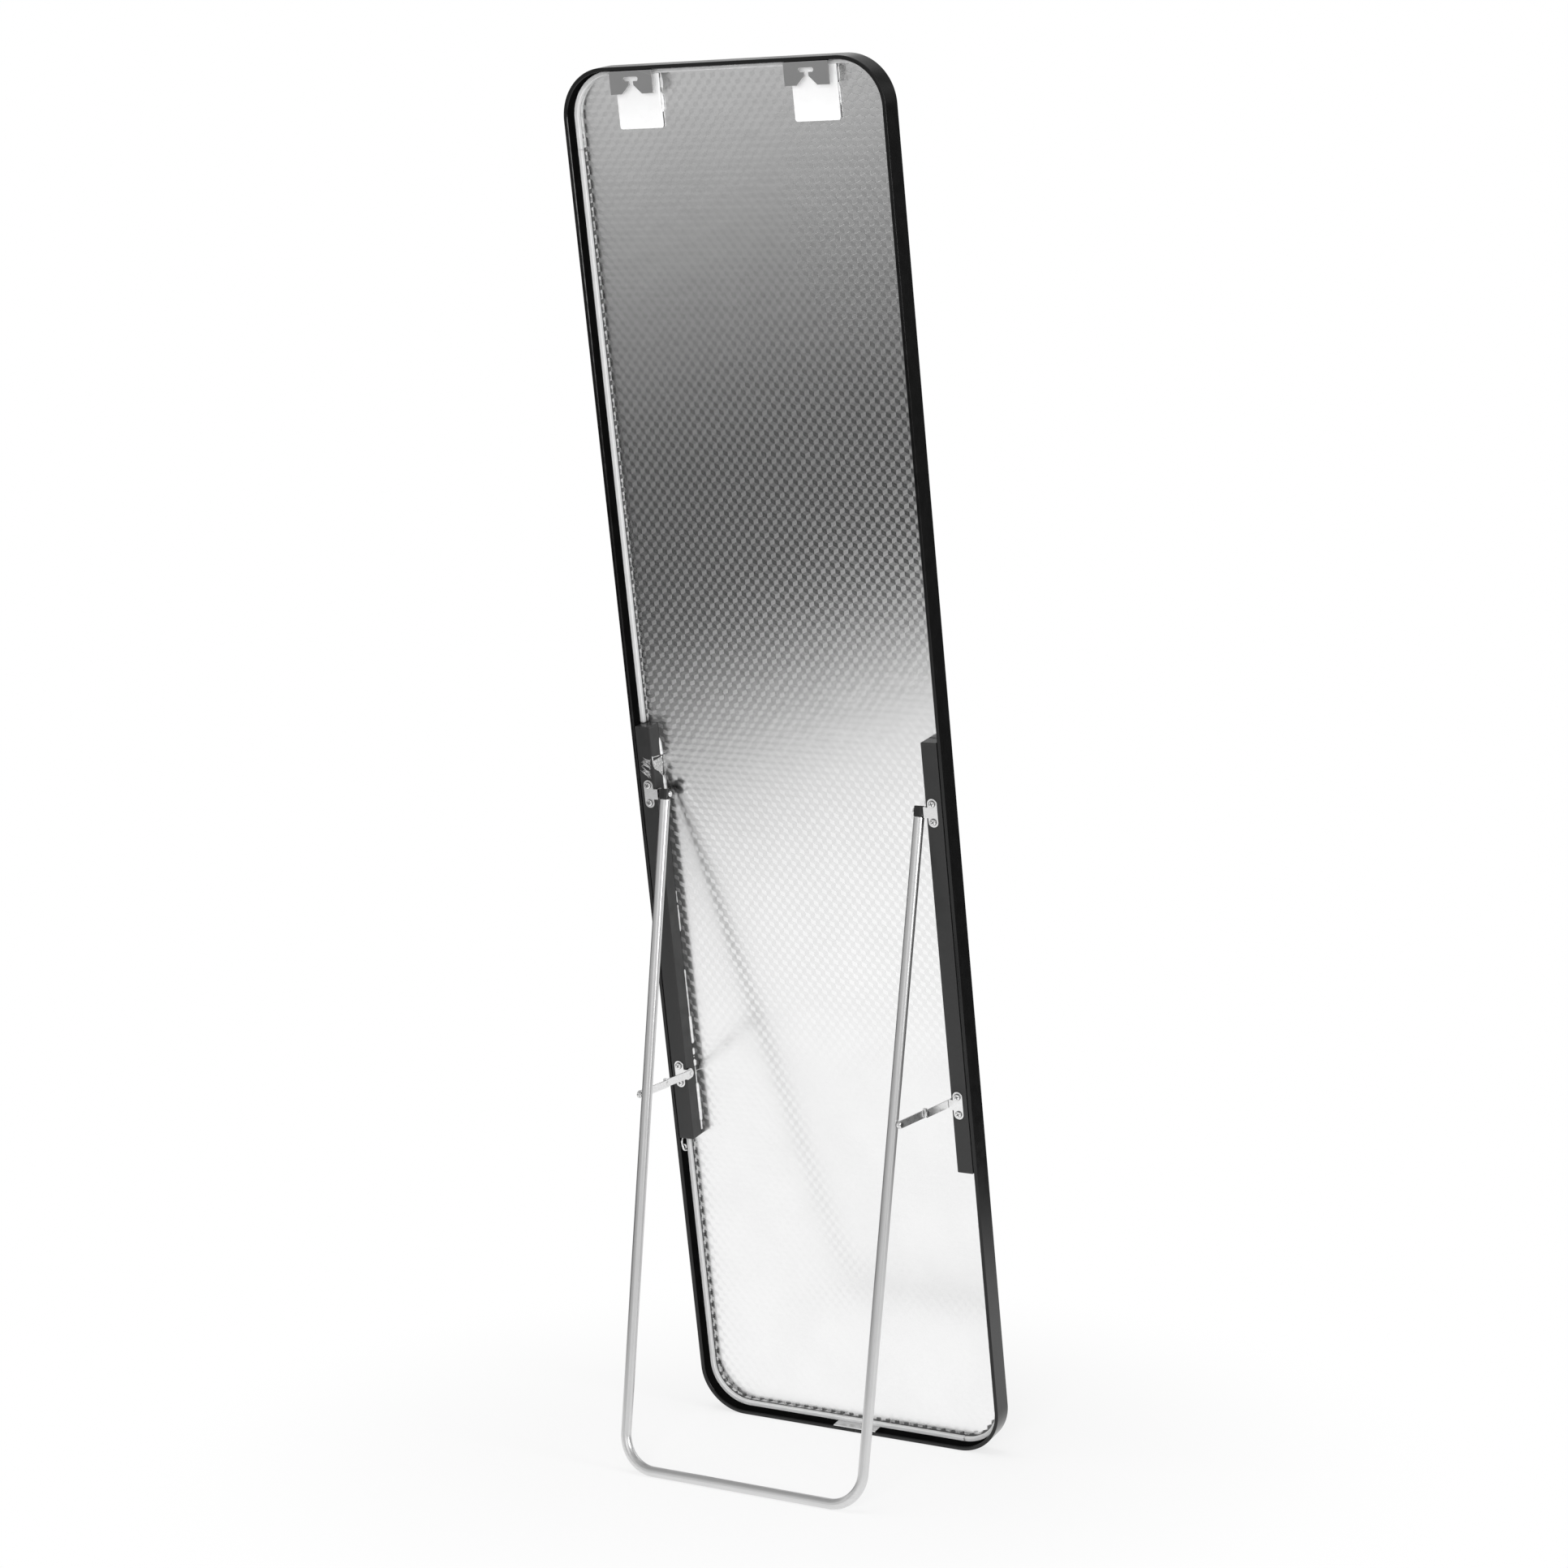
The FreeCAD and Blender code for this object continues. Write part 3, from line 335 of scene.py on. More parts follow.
# Drawn aluminium tube, with fine lines along its legs and along its bar. The legs run in and to
# the rear by these slopes, and the lines change direction between these heights in metres
LEG_IN = 0.0145
LEG_REAR = 0.1623
LEG_START = (0.02, 0.05)
TUBE_LINES = 900.0
TUBE_DRAW = 0.003
TUBE_LEVELS = (0.64, 0.7)
TUBE_ROUGHNESS = (0.28, 0.32)


def make_tube():
    material, tree = new_material("tube_aluminium")
    across = tree.calc("ABSOLUTE", tree.along((1, 0, 0)))
    up = tree.along((0, 0, 1))
    across = tree.calc("MULTIPLY_ADD", up, -LEG_IN, across)
    rear = tree.calc("MULTIPLY_ADD", up, LEG_REAR, tree.along((0, 1, 0)))
    drawn = tree.add("CombineXYZ", {0: across, 1: rear, 2: tree.calc("MULTIPLY", up, TUBE_DRAW)})
    legs = tree.noise(TUBE_LINES, 2.0, where=drawn.outputs[0])
    bar = tree.noise(TUBE_LINES, 2.0, stretch=(TUBE_DRAW, 1, 1))
    gap = tree.calc("SUBTRACT", legs, bar)
    lines = tree.calc("MULTIPLY_ADD", gap, tree.spread(up, *LEG_START), bar)
    cloud = tree.noise(20.0, 2.0)
    level = tree.total(tree.spread(lines, *USUAL, *TUBE_LEVELS),
                       tree.spread(cloud, *USUAL, -0.01, 0.01))
    rough = tree.spread(lines, *USUAL, *TUBE_ROUGHNESS)
    tree.surface(tree.grey(level), rough, tree.bump(cloud, 0.02, 0.0001), Metallic=1.0)
    return material


# Screw heads: bright crowns, with painted shade darker down in the cross and under the rim
SCREW_CROWN = (0.15, 0.7)
SCREW_SHADE_LEVELS = (0.84, 0.2)
SCREW_ROUGHNESS = (0.15, 0.22)


def make_screw():
    material, tree = new_material("screw_head")
    top = Span("hinge_screws").w[1]
    out = tree.calc("MULTIPLY", tree.calc("SUBTRACT", tree.along(OUT), RIM), 1 / MM)
    depth = tree.calc("SUBTRACT", top, out)
    fine = tree.noise(900.0, 2.0)
    # Painted shade: darker the deeper below the crown
    level = tree.calc("MULTIPLY", tree.spread(depth, *SCREW_CROWN, *SCREW_SHADE_LEVELS),
                      tree.spread(fine, *USUAL, 0.92, 1.08))
    rough = tree.spread(fine, *USUAL, *SCREW_ROUGHNESS)
    tree.surface(tree.grey(level), rough, tree.bump(fine, 0.05, 0.0002), Metallic=1.0)
    return material


# Hanger steel: plain grey, with one scratch across the left plate
SCRATCH_FROM = (-98.5, 1595.2)
SCRATCH_TO = (-82.0, 1589.6)
SCRATCH_EDGE = (0.15, 0.45)
SCRATCH_LEVEL = 0.1
STEEL_LEVELS = (0.51, 0.525)
STEEL_ROUGHNESS = (0.36, 0.4)


def make_steel():
    material, tree = new_material("grey_steel")
    u, v = flat_place(tree)
    way = (Vector(SCRATCH_TO) - Vector(SCRATCH_FROM)).normalized()
    u = tree.calc("SUBTRACT", u, SCRATCH_FROM[0])
    v = tree.calc("SUBTRACT", v, SCRATCH_FROM[1])
    along = tree.calc("MULTIPLY_ADD", u, way.x, tree.calc("MULTIPLY", v, way.y))
    across = tree.calc("MULTIPLY_ADD", u, way.y, tree.calc("MULTIPLY", v, -way.x))
    aside = tree.calc("ABSOLUTE", across)
    mark = tree.calc("MULTIPLY", tree.spread(aside, *SCRATCH_EDGE, SCRATCH_LEVEL, 0.0),
                     tree.spread(along, -1.0, 3.0))
    cloud = tree.noise(40.0, 4.0)
    fine = tree.noise(900.0, 2.0)
    level = tree.total(tree.spread(cloud, *USUAL, *STEEL_LEVELS), mark)
    rough = tree.spread(fine, *USUAL, *STEEL_ROUGHNESS)
    tree.surface(tree.grey(level), rough, tree.bump(fine, 0.03, 0.0002), Metallic=1.0)
    return material


# Front of the glass: a clean mirror with the faintest haze
MIRROR_LEVELS = (0.86, 0.88)
MIRROR_ROUGHNESS = (0.004, 0.03)


def make_mirror():
    material, tree = new_material("silvered_glass")
    haze = tree.noise(9.0, 4.0)
    rough = tree.spread(haze, 0.35, 0.75, *MIRROR_ROUGHNESS)
    level = tree.spread(haze, *USUAL, *MIRROR_LEVELS)
    tree.surface(tree.grey(level), rough, Metallic=1.0)
    return material


# Soft white stuff lets light through, the same for every colour
def soft_light(reach_mm):
    return {"Subsurface_Weight": 1.0, "Subsurface_Scale": reach_mm * MM,
            "Subsurface_Radius": (1.0, 1.0, 1.0)}


# Foam: pale, with open cells in its cut faces, and painted shade making it greyer along the top run,
# under the rim
FOAM_TOP_SHADE = (1570.0, 1590.0, 0.0, -0.14)
FOAM_LEVELS = (0.67, 0.71)
FOAM_CELLS = 1400.0


def make_foam_material():
    material, tree = new_material("pale_foam")
    cells = tree.add("TexVoronoi", {"Vector": tree.place(), "Scale": FOAM_CELLS}).outputs["Distance"]
    cloud = tree.noise(90.0, 4.0)
    v = flat_place(tree)[1]
    # The last term is painted shade along the top run
    level = tree.total(tree.spread(cloud, *USUAL, *FOAM_LEVELS),
                       tree.spread(cells, 0.1, 0.6, -0.02, 0.02),
                       tree.spread(v, *FOAM_TOP_SHADE))
    tree.surface(tree.grey(level), 0.85, tree.bump(cells, 0.15, 0.0002), **soft_light(2.0))
    return material


# Hot-melt glue, cloudy and soft
GLUE_LEVELS = (0.8, 0.95)
GLUE_ROUGHNESS = (0.15, 0.35)


def make_glue_material():
    material, tree = new_material("clear_glue")
    cloud = tree.noise(260.0, 4.0)
    level = tree.spread(cloud, *USUAL, *GLUE_LEVELS)
    rough = tree.spread(cloud, *USUAL, *GLUE_ROUGHNESS)
    tree.surface(tree.grey(level), rough, tree.bump(cloud, 0.2, 0.0004), **soft_light(1.5))
    return material


MATERIALS = {
    "black_anodised": finish("black_anodised", 0.0028, 0.2, mottle=0.25, mottle_scale=60.0,
                             grain=0.015, grain_scale=2200.0, Specular_IOR_Level=0.4),
    "bare_aluminium": finish("bare_aluminium", 0.72, 0.32, mottle=0.06, stretch=(0.05, 1, 1),
                             Metallic=1.0),
    "silvered_glass": make_mirror(),
    "silver_film": make_film(),
    "pale_foam": make_foam_material(),
    "white_pad": finish("white_pad", 0.94, 0.7, mottle=0.01, grain=0.05, grain_scale=1600.0,
                        **soft_light(0.6)),
    "grey_steel": make_steel(),
    "black_rail": finish("black_rail", 0.017, 0.42, mottle=0.12, grain=0.12, grain_scale=1500.0),
    "black_plastic": finish("black_plastic", 0.02, 0.27, mottle=0.15, grain=0.08),
    "clear_glue": make_glue_material(),
    "zinc_steel": finish("zinc_steel", 0.88, 0.3, mottle=0.03, mottle_scale=220.0, grain=0.04,
                         rough_change=0.12, Metallic=1.0),
    "zinc_screw": finish("zinc_screw", 0.8, 0.18, mottle=0.08, mottle_scale=400.0, grain=0.05,
                         Metallic=1.0),
    "tube_aluminium": make_tube(),
}
# Painted shade: near black on the pads' sides and undersides, for the dark line along their edges
PAD_EDGE_SHADE = finish("pad_edge_shade", 0.03, 0.8, mottle=0.2, grain=0.2)
INSIDE = finish("frame_inside", 0.004, 0.6, mottle=0.2, grain=0.08, Specular_IOR_Level=0.0)
SCREW = make_screw()
PLUG = finish("plug_black", 0.006, 0.36, mottle=0.2, grain=0.1)
THIN_GLUE = finish("thin_glue", 0.46, 0.3, mottle=0.3, mottle_scale=500.0, grain=0.2)
GLUE_SMEAR = finish("glue_smear", 0.66, 0.5, mottle=0.06, mottle_scale=300.0, grain=0.2)

NODE_FINISH = {
    "splice_plate": "bare_aluminium",
    "mirror_glass": "silvered_glass",
    "backing_film": "silver_film",
    "hanger": "grey_steel",
    "rail_cap": "black_plastic",
    "rail": "black_rail",
    "hinge_screws": "zinc_screw",
    "stay_screws": "zinc_screw",
    "hinge_bracket": "zinc_steel",
    "stay_bracket": "zinc_steel",
    "hinge_pin": "zinc_screw",
    "ear_rivet": "zinc_screw",
    "knuckle": "zinc_screw",
    "leg_rivet": "zinc_screw",
    "stay_link": "zinc_steel",
    "leg_plug": "black_plastic",
    "stand_tube": "tube_aluminium",
}
# Nodes with a finish of their own within their slot
OWN_FINISH = {"leg_plug": PLUG, "hinge_screws": SCREW, "stay_screws": SCREW}


def dress_nodes():
    for name, node in NODES.items():
        starts = [start for start in NODE_FINISH if name.startswith(start)]
        if not starts:
            continue
        kind = max(starts, key=len)
        slot = NODE_FINISH[kind]
        node.data.materials.clear()
        node.data.materials.append(OWN_FINISH.get(kind, MATERIALS[slot]))


# Mesh helpers
def new_piece(name, mesh, slot, body="mirror", material=None):
    piece = bpy.data.objects.new(name, mesh)
    bpy.context.scene.collection.objects.link(piece)
    if not mesh.materials:
        mesh.materials.append(material or MATERIALS[slot])
    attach(piece, body)
    return piece


def loft(name, *skins):
    """A mesh of closed skins, each through rings of points, with its two ends capped."""
    mesh = bpy.data.meshes.new(name)
    bm = bmesh.new()
    for rings in skins:
        rows = [[bm.verts.new(point) for point in ring] for ring in rings]
        count = len(rows[0])
        for row, following in zip(rows, rows[1:]):
            for i in range(count):
                j = (i + 1) % count
                bm.faces.new((row[i], row[j], following[j], following[i]))
        bm.faces.new(list(reversed(rows[0])))
        bm.faces.new(rows[-1])
    bmesh.ops.recalc_face_normals(bm, faces=bm.faces)
    for face in bm.faces:
        face.smooth = len(face.verts) == 4
    bm.to_mesh(mesh)
    bm.free()
    return mesh


def tube_rings(points, radii, normal, sides=24):
    """Round sections across a line of points in space, started off from the given normal."""
    rings = []
    for i, point in enumerate(points):
        heading = points[min(i + 1, len(points) - 1)] - points[max(i - 1, 0)]
        first = heading.cross(normal).normalized()
        second = heading.cross(first).normalized()
        ring = []
        for step in range(sides):
            angle = 2 * math.pi * step / sides
            ring.append(point + (first * math.cos(angle) + second * math.sin(angle)) * radii[i])
        rings.append(ring)
    return rings


def round_corner(before, corner, after, radius, step):
    """Points of the arc that rounds the corner between two straight runs."""
    back = (before - corner).normalized()
    ahead = (after - corner).normalized()
    half = back.angle(ahead) / 2
    centre = corner + (back + ahead).normalized() * (radius / math.sin(half))
    first = (corner + back * (radius / math.tan(half)) - centre).normalized()
    last = corner + ahead * (radius / math.tan(half)) - centre
    second = (last - first * last.dot(first)).normalized()
    turn = math.pi - 2 * half
    count = max(2, int(radius * turn / step))
    angles = [turn * i / count for i in range(count + 1)]
    return [centre + (first * math.cos(a) + second * math.sin(a)) * radius for a in angles]


def bent_path(points, radius, step):
    """Points along straight runs that meet in round corners, a step apart."""
    points = [Vector(point) for point in points]
    knots = [points[0]]
    for before, corner, after in zip(points, points[1:], points[2:]):
        knots.extend(round_corner(before, corner, after, radius, step))
    knots.append(points[-1])
    path = []
    for here, following in zip(knots, knots[1:]):
        count = max(1, round((following - here).length / step))
        path.extend(here.lerp(following, i / count) for i in range(count))
    return path + [knots[-1]]


def wobble(point, size, seed=0.0):
    """Smooth noise between -1 and 1 at a point, with features of that size in metres."""
    return noise.noise(point / size + Vector((seed, 2.3 * seed, 5.1)))


def smooth_line(points, steps=6):
    """A smooth line through points of the mirror's frame, as points in space."""
    knots = [spot(*point) for point in points]
    knots = [knots[0] * 2 - knots[1]] + knots + [knots[-1] * 2 - knots[-2]]
    line = []
    for a, b, c, d in zip(knots, knots[1:], knots[2:], knots[3:]):
        for i in range(steps):
            t = i / steps
            bend = (a * 2 - b * 5 + c * 4 - d) * t * t + (b * 3 - a - c * 3 + d) * t ** 3
            line.append(b + ((c - a) * t + bend) / 2)
    return line + [knots[-2]]


def strand(points, thick, ends=(0.4, 0.4), lumps=0.15):
    """Rings of a lumpy thread through points of the mirror's frame, thick in millimetres."""
    line = smooth_line(points)
    radii = []
    for i, point in enumerate(line):
        t = i / (len(line) - 1)
        end = ends[0] if t < 0.5 else ends[1]
        taper = end + (1 - end) * min(1.0, 4 * min(t, 1 - t))
        radii.append(thick / 2 * MM * taper * (1 + lumps * wobble(point, 0.003, 7.0)))
    return tube_rings(line, radii, OUT + ACROSS * 0.3, 8)


# Frame: an angled extrusion bent into a loop that meets at a seam in its lower run
FRAME_WALL = 4.5
FRAME_LIP = 9.0
FRAME_LIP_DEPTH = 1.8
FRAME_CORNER = 55.0
FRAME_ROUND = 0.7
CHAMFER = (0.75, 1.1)
CHAMFER_ROUND = 0.25
SEAM_U = 6.0
SEAM_GAP = 0.4
CORNER_STEPS = 28
RUN_STEP = 3.0
# The inner rear edge is slightly wavy, within this depth and width of it
EDGE_WAVE = 0.08
WAVE_LENGTH = 17.5
WAVE_DEPTH = 0.3
WAVE_WIDTH = 1.1


def rounded_profile(corners, step=0.25, support=0.2):
    """A closed outline with rounded corners, and points that keep the flats flat."""
    outline = []
    count = len(corners)
    for i, (across, depth, radius) in enumerate(corners):
        here = Vector((across, depth))
        before = Vector(corners[i - 1][:2])
        after = Vector(corners[(i + 1) % count][:2])
        arc = round_corner(before, here, after, radius, step)
        outline.append(arc[0] + (before - here).normalized() * support)
        outline.extend(arc)
        outline.append(arc[-1] + (after - here).normalized() * support)
    return outline


def frame_stations(span):
    """Corner centre and direction of each section round the frame, from seam to seam."""
    half = span.u[1] - FRAME_CORNER
    top = span.v[1] - FRAME_CORNER
    low = span.v[0] + FRAME_CORNER
    stops = [(Vector((SEAM_U + SEAM_GAP / 2, low)), -90.0)]
    corners = (((half, low), -90), ((half, top), 0), ((-half, top), 90), ((-half, low), 180))
    for centre, start in corners:
        for step in range(CORNER_STEPS + 1):
            stops.append((Vector(centre), start + 90.0 * step / CORNER_STEPS))
    stops.append((Vector((SEAM_U - SEAM_GAP / 2, low)), 270.0))
    stations = []
    for (here, angle), following in zip(stops, stops[1:]):
        count = max(1, round((following[0] - here).length / RUN_STEP))
        for i in range(count):
            stations.append((here.lerp(following[0], i / count), angle))
    return stations + [stops[-1]]


def make_frame():
    span = Span("frame_loop")
    front, rear = span.w
    lip = front + FRAME_LIP_DEPTH
    corners = (
        (0, front, FRAME_ROUND),
        (0, rear, FRAME_ROUND),
        (FRAME_WALL - CHAMFER[0], rear, CHAMFER_ROUND),
        (FRAME_WALL, rear - CHAMFER[1], CHAMFER_ROUND),
        (FRAME_WALL, lip, FRAME_ROUND),
        (FRAME_LIP, lip, FRAME_ROUND),
        (FRAME_LIP, front, FRAME_ROUND),
    )
    profile = rounded_profile(corners)
    rings = []
    run = 0.0
    for centre, angle in frame_stations(span):
        way = Vector((math.cos(math.radians(angle)), math.sin(math.radians(angle))))
        wave = EDGE_WAVE * math.sin(2 * math.pi * run / WAVE_LENGTH)
        ring = []
        for inset, w in profile:
            if rear - WAVE_DEPTH < w and FRAME_WALL - WAVE_WIDTH < inset:
                inset += wave
            flat = centre + way * (FRAME_CORNER - inset)
            ring.append(spot(flat.x, flat.y, w))
        if rings:
            run += (ring[0] - rings[-1][0]).length / MM
        rings.append(ring)
    mesh = loft("frame", rings)
    mesh.materials.append(MATERIALS["black_anodised"])
    mesh.materials.append(INSIDE)
    # The extrusion's inner wall is left dull
    count = len(profile)
    for i, point in enumerate(profile):
        following = profile[(i + 1) % count]
        if abs(point.x - FRAME_WALL) + abs(following.x - FRAME_WALL) < 0.01:
            for row in range(len(rings) - 1):
                mesh.polygons[row * count + i].material_index = 1
    piece = new_piece("frame", mesh, "black_anodised")
    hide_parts("frame_loop")


# Foam strips: lengths cut from one bar, bent round the corners of the frame
FOAM_STEP = 2.5
FOAM_ROUND = 0.7
FOAM_HALF_WIDTH = 2.5
FOAM_CORNER = 47.9
FOAM_JOINT = -0.3
# How far its width, as shares, and its height fall short in places
FOAM_PINCH = (0.03, 0.02)
FOAM_DIP = 0.25


def foam_ring(point, heading, low, high, swell):
    """Section of the strip at a point of its middle line: flat faces with small rounds."""
    side = Vector((-heading.y, heading.x))
    half = FOAM_HALF_WIDTH * swell
    spots = ((-half, low), (-half, high), (half, high), (half, low))
    ring = []
    for across, w in rounded_profile([(*place, FOAM_ROUND) for place in spots], 0.8):
        flat = point + side * across
        ring.append(spot(flat.x, flat.y, w))
    return ring


def make_foam():
    names = ("foam_strip_top", "foam_strip_left", "foam_strip_low", "foam_strip_right")
    spans = {name: Span(name) for name in names}
    top, left, low, right = spans.values()
    mid = top.u[1] - FOAM_HALF_WIDTH
    ceiling = top.v[1] - FOAM_HALF_WIDTH
    ground = low.v[0] + FOAM_HALF_WIDTH
    routes = (
        ((-mid, left.v[1] + FOAM_JOINT), (-mid, ceiling), (mid, ceiling), (mid, top.v[0])),
        ((-mid, left.v[0]), (-mid, left.v[1])),
        ((-mid, low.v[1]), (-mid, ground), (low.u[1], ground)),
        ((right.u[0], ground), (mid, ground), (mid, right.v[1])),
    )
    for name, route in zip(names, routes):
        span = spans[name]
        run = bent_path(route, FOAM_CORNER, FOAM_STEP)
        rings = []
        for i, point in enumerate(run):
            heading = (run[min(i + 1, len(run) - 1)] - run[max(i - 1, 0)]).normalized()
            here = spot(point.x, point.y, span.w[0])
            swell = 1 - FOAM_PINCH[0] * abs(wobble(here, 0.03, 1.0))
            swell -= FOAM_PINCH[1] * abs(wobble(here, 0.008, 2.0))
            high = span.w[1] - FOAM_DIP * abs(wobble(here, 0.02, 3.0))
            rings.append(foam_ring(point, heading, span.w[0], high, swell))
        piece = new_piece(name.replace("strip", "length"), loft(name, rings), "pale_foam")
        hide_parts(name)


# Pads behind the hangers: a white sheet over near-black sides, painted shade for the dark line along
# each pad's edge
PAD_ROUND = 3.0
PAD_TOP_ROUND = 0.6
PAD_LEAST_ROUND = 0.3
PAD_SHEET = 2.1
PAD_DIP = 0.12


def rounded_outline(low, high, inset=0.0, steps=6):
    """Outline of a pad, round at its two lower corners, pulled in by the inset."""
    points = []
    spots = ((high[0], high[1], 0), (low[0], high[1], 90),
             (low[0], low[1], 180), (high[0], low[1], 270))
    for x, y, start in spots:
        radius = max((PAD_TOP_ROUND if y == high[1] else PAD_ROUND) - inset, PAD_LEAST_ROUND)
        x += (radius + inset) * (-1 if x == high[0] else 1)
        y += (radius + inset) * (-1 if y == high[1] else 1)
        for step in range(steps + 1):
            angle = math.radians(start + 90 * step / steps)
            points.append((x + radius * math.cos(angle), y + radius * math.sin(angle)))
    return points


def make_pad(side):
    node = "hanger_pad_" + side
    span = Span(node)
    low, high = (span.u[0], span.v[0]), (span.u[1], span.v[1])
    base, top = span.w
    sheet = top - PAD_SHEET
    # Height and inset of each ring, from the film up
    layers = ((base, 0.15), (base + 0.5, 0.0), (sheet - 0.05, 0.05), (sheet, 0.0), (top - 0.2, 0.0),
              (top - 0.05, 0.12), (top, 0.4), (top, 3.0))
    rings = []
    for w, inset in layers:
        outline = rounded_outline(low, high, inset)
        dips = [PAD_DIP * abs(wobble(spot(u, v, 0), 0.02)) for u, v in outline]
        rings.append([spot(u, v, w - dip) for (u, v), dip in zip(outline, dips)])
    mesh = loft(node, rings)
    mesh.materials.append(PAD_EDGE_SHADE)
    mesh.materials.append(MATERIALS["white_pad"])
    # Faces below the white sheet take the painted shade
    sheet_level = RIM + (sheet - 0.02) * MM
    for face in mesh.polygons:
        face.material_index = 1 if OUT.dot(face.center) > sheet_level else 0
    piece = new_piece("pad_" + side, mesh, "white_pad")
    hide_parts(node)


# Stampings: copies of the CAD plates with their cut edges a little rounded
SOFT_EDGE = 0.3
FLAT_ANGLE = math.radians(1)
CUT_ANGLE = math.radians(40)
SHARP_ANGLE = math.radians(20)
PLATE_BODIES = {
    "hanger_left": "mirror",
    "hanger_right": "mirror",
    "hinge_bracket_left": "mirror",
    "hinge_bracket_right": "mirror",
    "stay_bracket_left": "mirror",
    "stay_bracket_right": "mirror",
    "stay_link_front_left": "stay_front_left",
    "stay_link_front_right": "stay_front_right",
    "stay_link_rear_left": "stay_rear_left",
    "stay_link_rear_right": "stay_rear_right",
}


def soften_plates():
    for node, body in PLATE_BODIES.items():
        slot = "grey_steel" if node.startswith("hanger") else "zinc_steel"
        bm = bmesh.new()
        bm.from_mesh(NODES[node].data)
        bmesh.ops.remove_doubles(bm, verts=bm.verts, dist=0.001 * MM)
        bmesh.ops.dissolve_limit(bm, angle_limit=FLAT_ANGLE, verts=bm.verts, edges=bm.edges)
        sharp = [edge for edge in bm.edges if edge.calc_face_angle(0) > CUT_ANGLE]
        bmesh.ops.bevel(bm, geom=sharp, offset=SOFT_EDGE * MM, segments=2, profile=0.5,
                        affect="EDGES", clamp_overlap=True)
        mesh = bpy.data.meshes.new(node)
        bm.to_mesh(mesh)
        bm.free()
        for face in mesh.polygons:
            face.use_smooth = True
        mesh.set_sharp_from_angle(angle=SHARP_ANGLE)
        piece = new_piece(node + "_plate", mesh, slot, body)
        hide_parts(node)


# Stand: one bent tube, drawn again so that its reflections run smoothly
TUBE_RADIUS = 6.0
TUBE_TOP = 6.0
TUBE_TAPER = 11.0
TUBE_BEND = 40.0
TUBE_STEP = 2.0
TUBE_SIDES = 40


def make_stand():
    low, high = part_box("stand_tube")
    hinge = sum(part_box("hinge_pin_left"), Vector()) / 2
    hinge.x = 0
    radius = TUBE_RADIUS * MM
    bar = Vector((0, high.y - radius, low.z + radius))
    down = (bar - hinge).normalized()
    length = (bar - hinge).length / MM
    top = high.x / MM - TUBE_RADIUS
    foot = top - TUBE_TAPER * (length - TUBE_TOP) / length
    route = ((top, TUBE_TOP), (foot, length), (-foot, length), (-top, TUBE_TOP))
    run = bent_path(route, TUBE_BEND, TUBE_STEP)
    path = [hinge + ACROSS * x * MM + down * s * MM for x, s in run]
    rings = tube_rings(path, [radius] * len(path), ACROSS.cross(down), TUBE_SIDES)
    piece = new_piece("stand", loft("stand", rings), "tube_aluminium", "stand")
    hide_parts("stand_tube")


# Hot-melt beads in the corners between rails and film: runs by height, each with its thickness
BEAD_STEP = 1.0
BEAD_LEAST_STEPS = 6
BEAD_SIDES = 6
BEAD_END = 2.5
BEAD_LEAST = 0.06
BEAD_RUNS = {
    "left": ((357, 371, 0.55), (368, 417, 1.0), (416, 437, 0.35), (437, 446.2, 0.95),
             (448.2, 450.2, 0.4), (451.3, 460.4, 0.75), (465.5, 501, 0.9), (499, 558, 0.42),
             (605, 638, 0.45), (640, 655, 0.25)),
    "right": ((356, 420, 0.7), (431, 470, 0.85), (480, 560, 0.4), (610, 688, 0.6), (701, 760, 0.5),
              (792, 846, 0.7)),
}


def bead_rings(side, span, start, stop, thick):
    sign = 1 if side == "right" else -1
    wall = span.u[1] if side == "right" else span.u[0]
    film = span.w[0]
    count = max(BEAD_LEAST_STEPS, int((stop - start) / BEAD_STEP))
    rings = []
    for i in range(count + 1):
        t = i / count
        v = start + (stop - start) * t
        here = Vector((0, 0, v * MM))
        ragged = (1 - thick) * 0.9 + 0.1
        lumps = 0.5 * wobble(here, 0.009, 4.0) + 0.4 * wobble(here, 0.003, 5.0)
        fat = thick * (1 + ragged * lumps)
        rounding = min(1.0, (stop - start) * min(t, 1 - t) / (BEAD_END * thick))
        fat = min(1.0, max(BEAD_LEAST, fat * math.sqrt(rounding)))
        width = (span.u[1] - span.u[0]) * fat
        rise = (span.w[1] - span.w[0]) * fat
        ring = []
        for step in range(BEAD_SIDES + 1):
            angle = math.pi / 2 * step / BEAD_SIDES
            u = wall - sign * width * math.cos(angle)
            ring.append(spot(u, v, film + rise * math.sin(angle)))
        ring.append(spot(wall, v, film))
        rings.append(ring)
    return rings


def make_bead(side):
    node = "glue_bead_" + side
    span = Span(node)
    skins = [bead_rings(side, span, *run) for run in BEAD_RUNS[side]]
    piece = new_piece("glue_" + side, loft(node, *skins), "clear_glue")
    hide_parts(node)


# Scraps of glue that the photograph shows: spike, web, threads and a loop beside the left rail
SPIKE = ((-175.4, 840, -19.3), (-175.2, 833, -19.2), (-174.9, 826, -19.0), (-174.6, 820, -18.9))
WEB_RIMS = (
    ((-175.1, 821.6, -1.4), (-174.9, 820.8, -8.0), (-174.8, 820.0, -16.0)),
    ((-175.1, 816.2, -1.2), (-174.9, 816.6, -7.0), (-174.8, 816.1, -13.8)),
    ((-175.3, 822.8, -0.4), (-175.0, 816.0, -0.5), (-175.0, 811.7, -0.6)),
    ((-175.0, 811.7, -0.6), (-174.9, 807.1, -3.8), (-174.8, 804.8, -8.0), (-174.8, 799.6, -14.2),
     (-174.9, 794.5, -18.3)),
)
WEB_DOTS = ((-174.6, 812.2, -15.0), (-173.6, 818.0, -17.5), (-173.8, 811.0, -17.8))
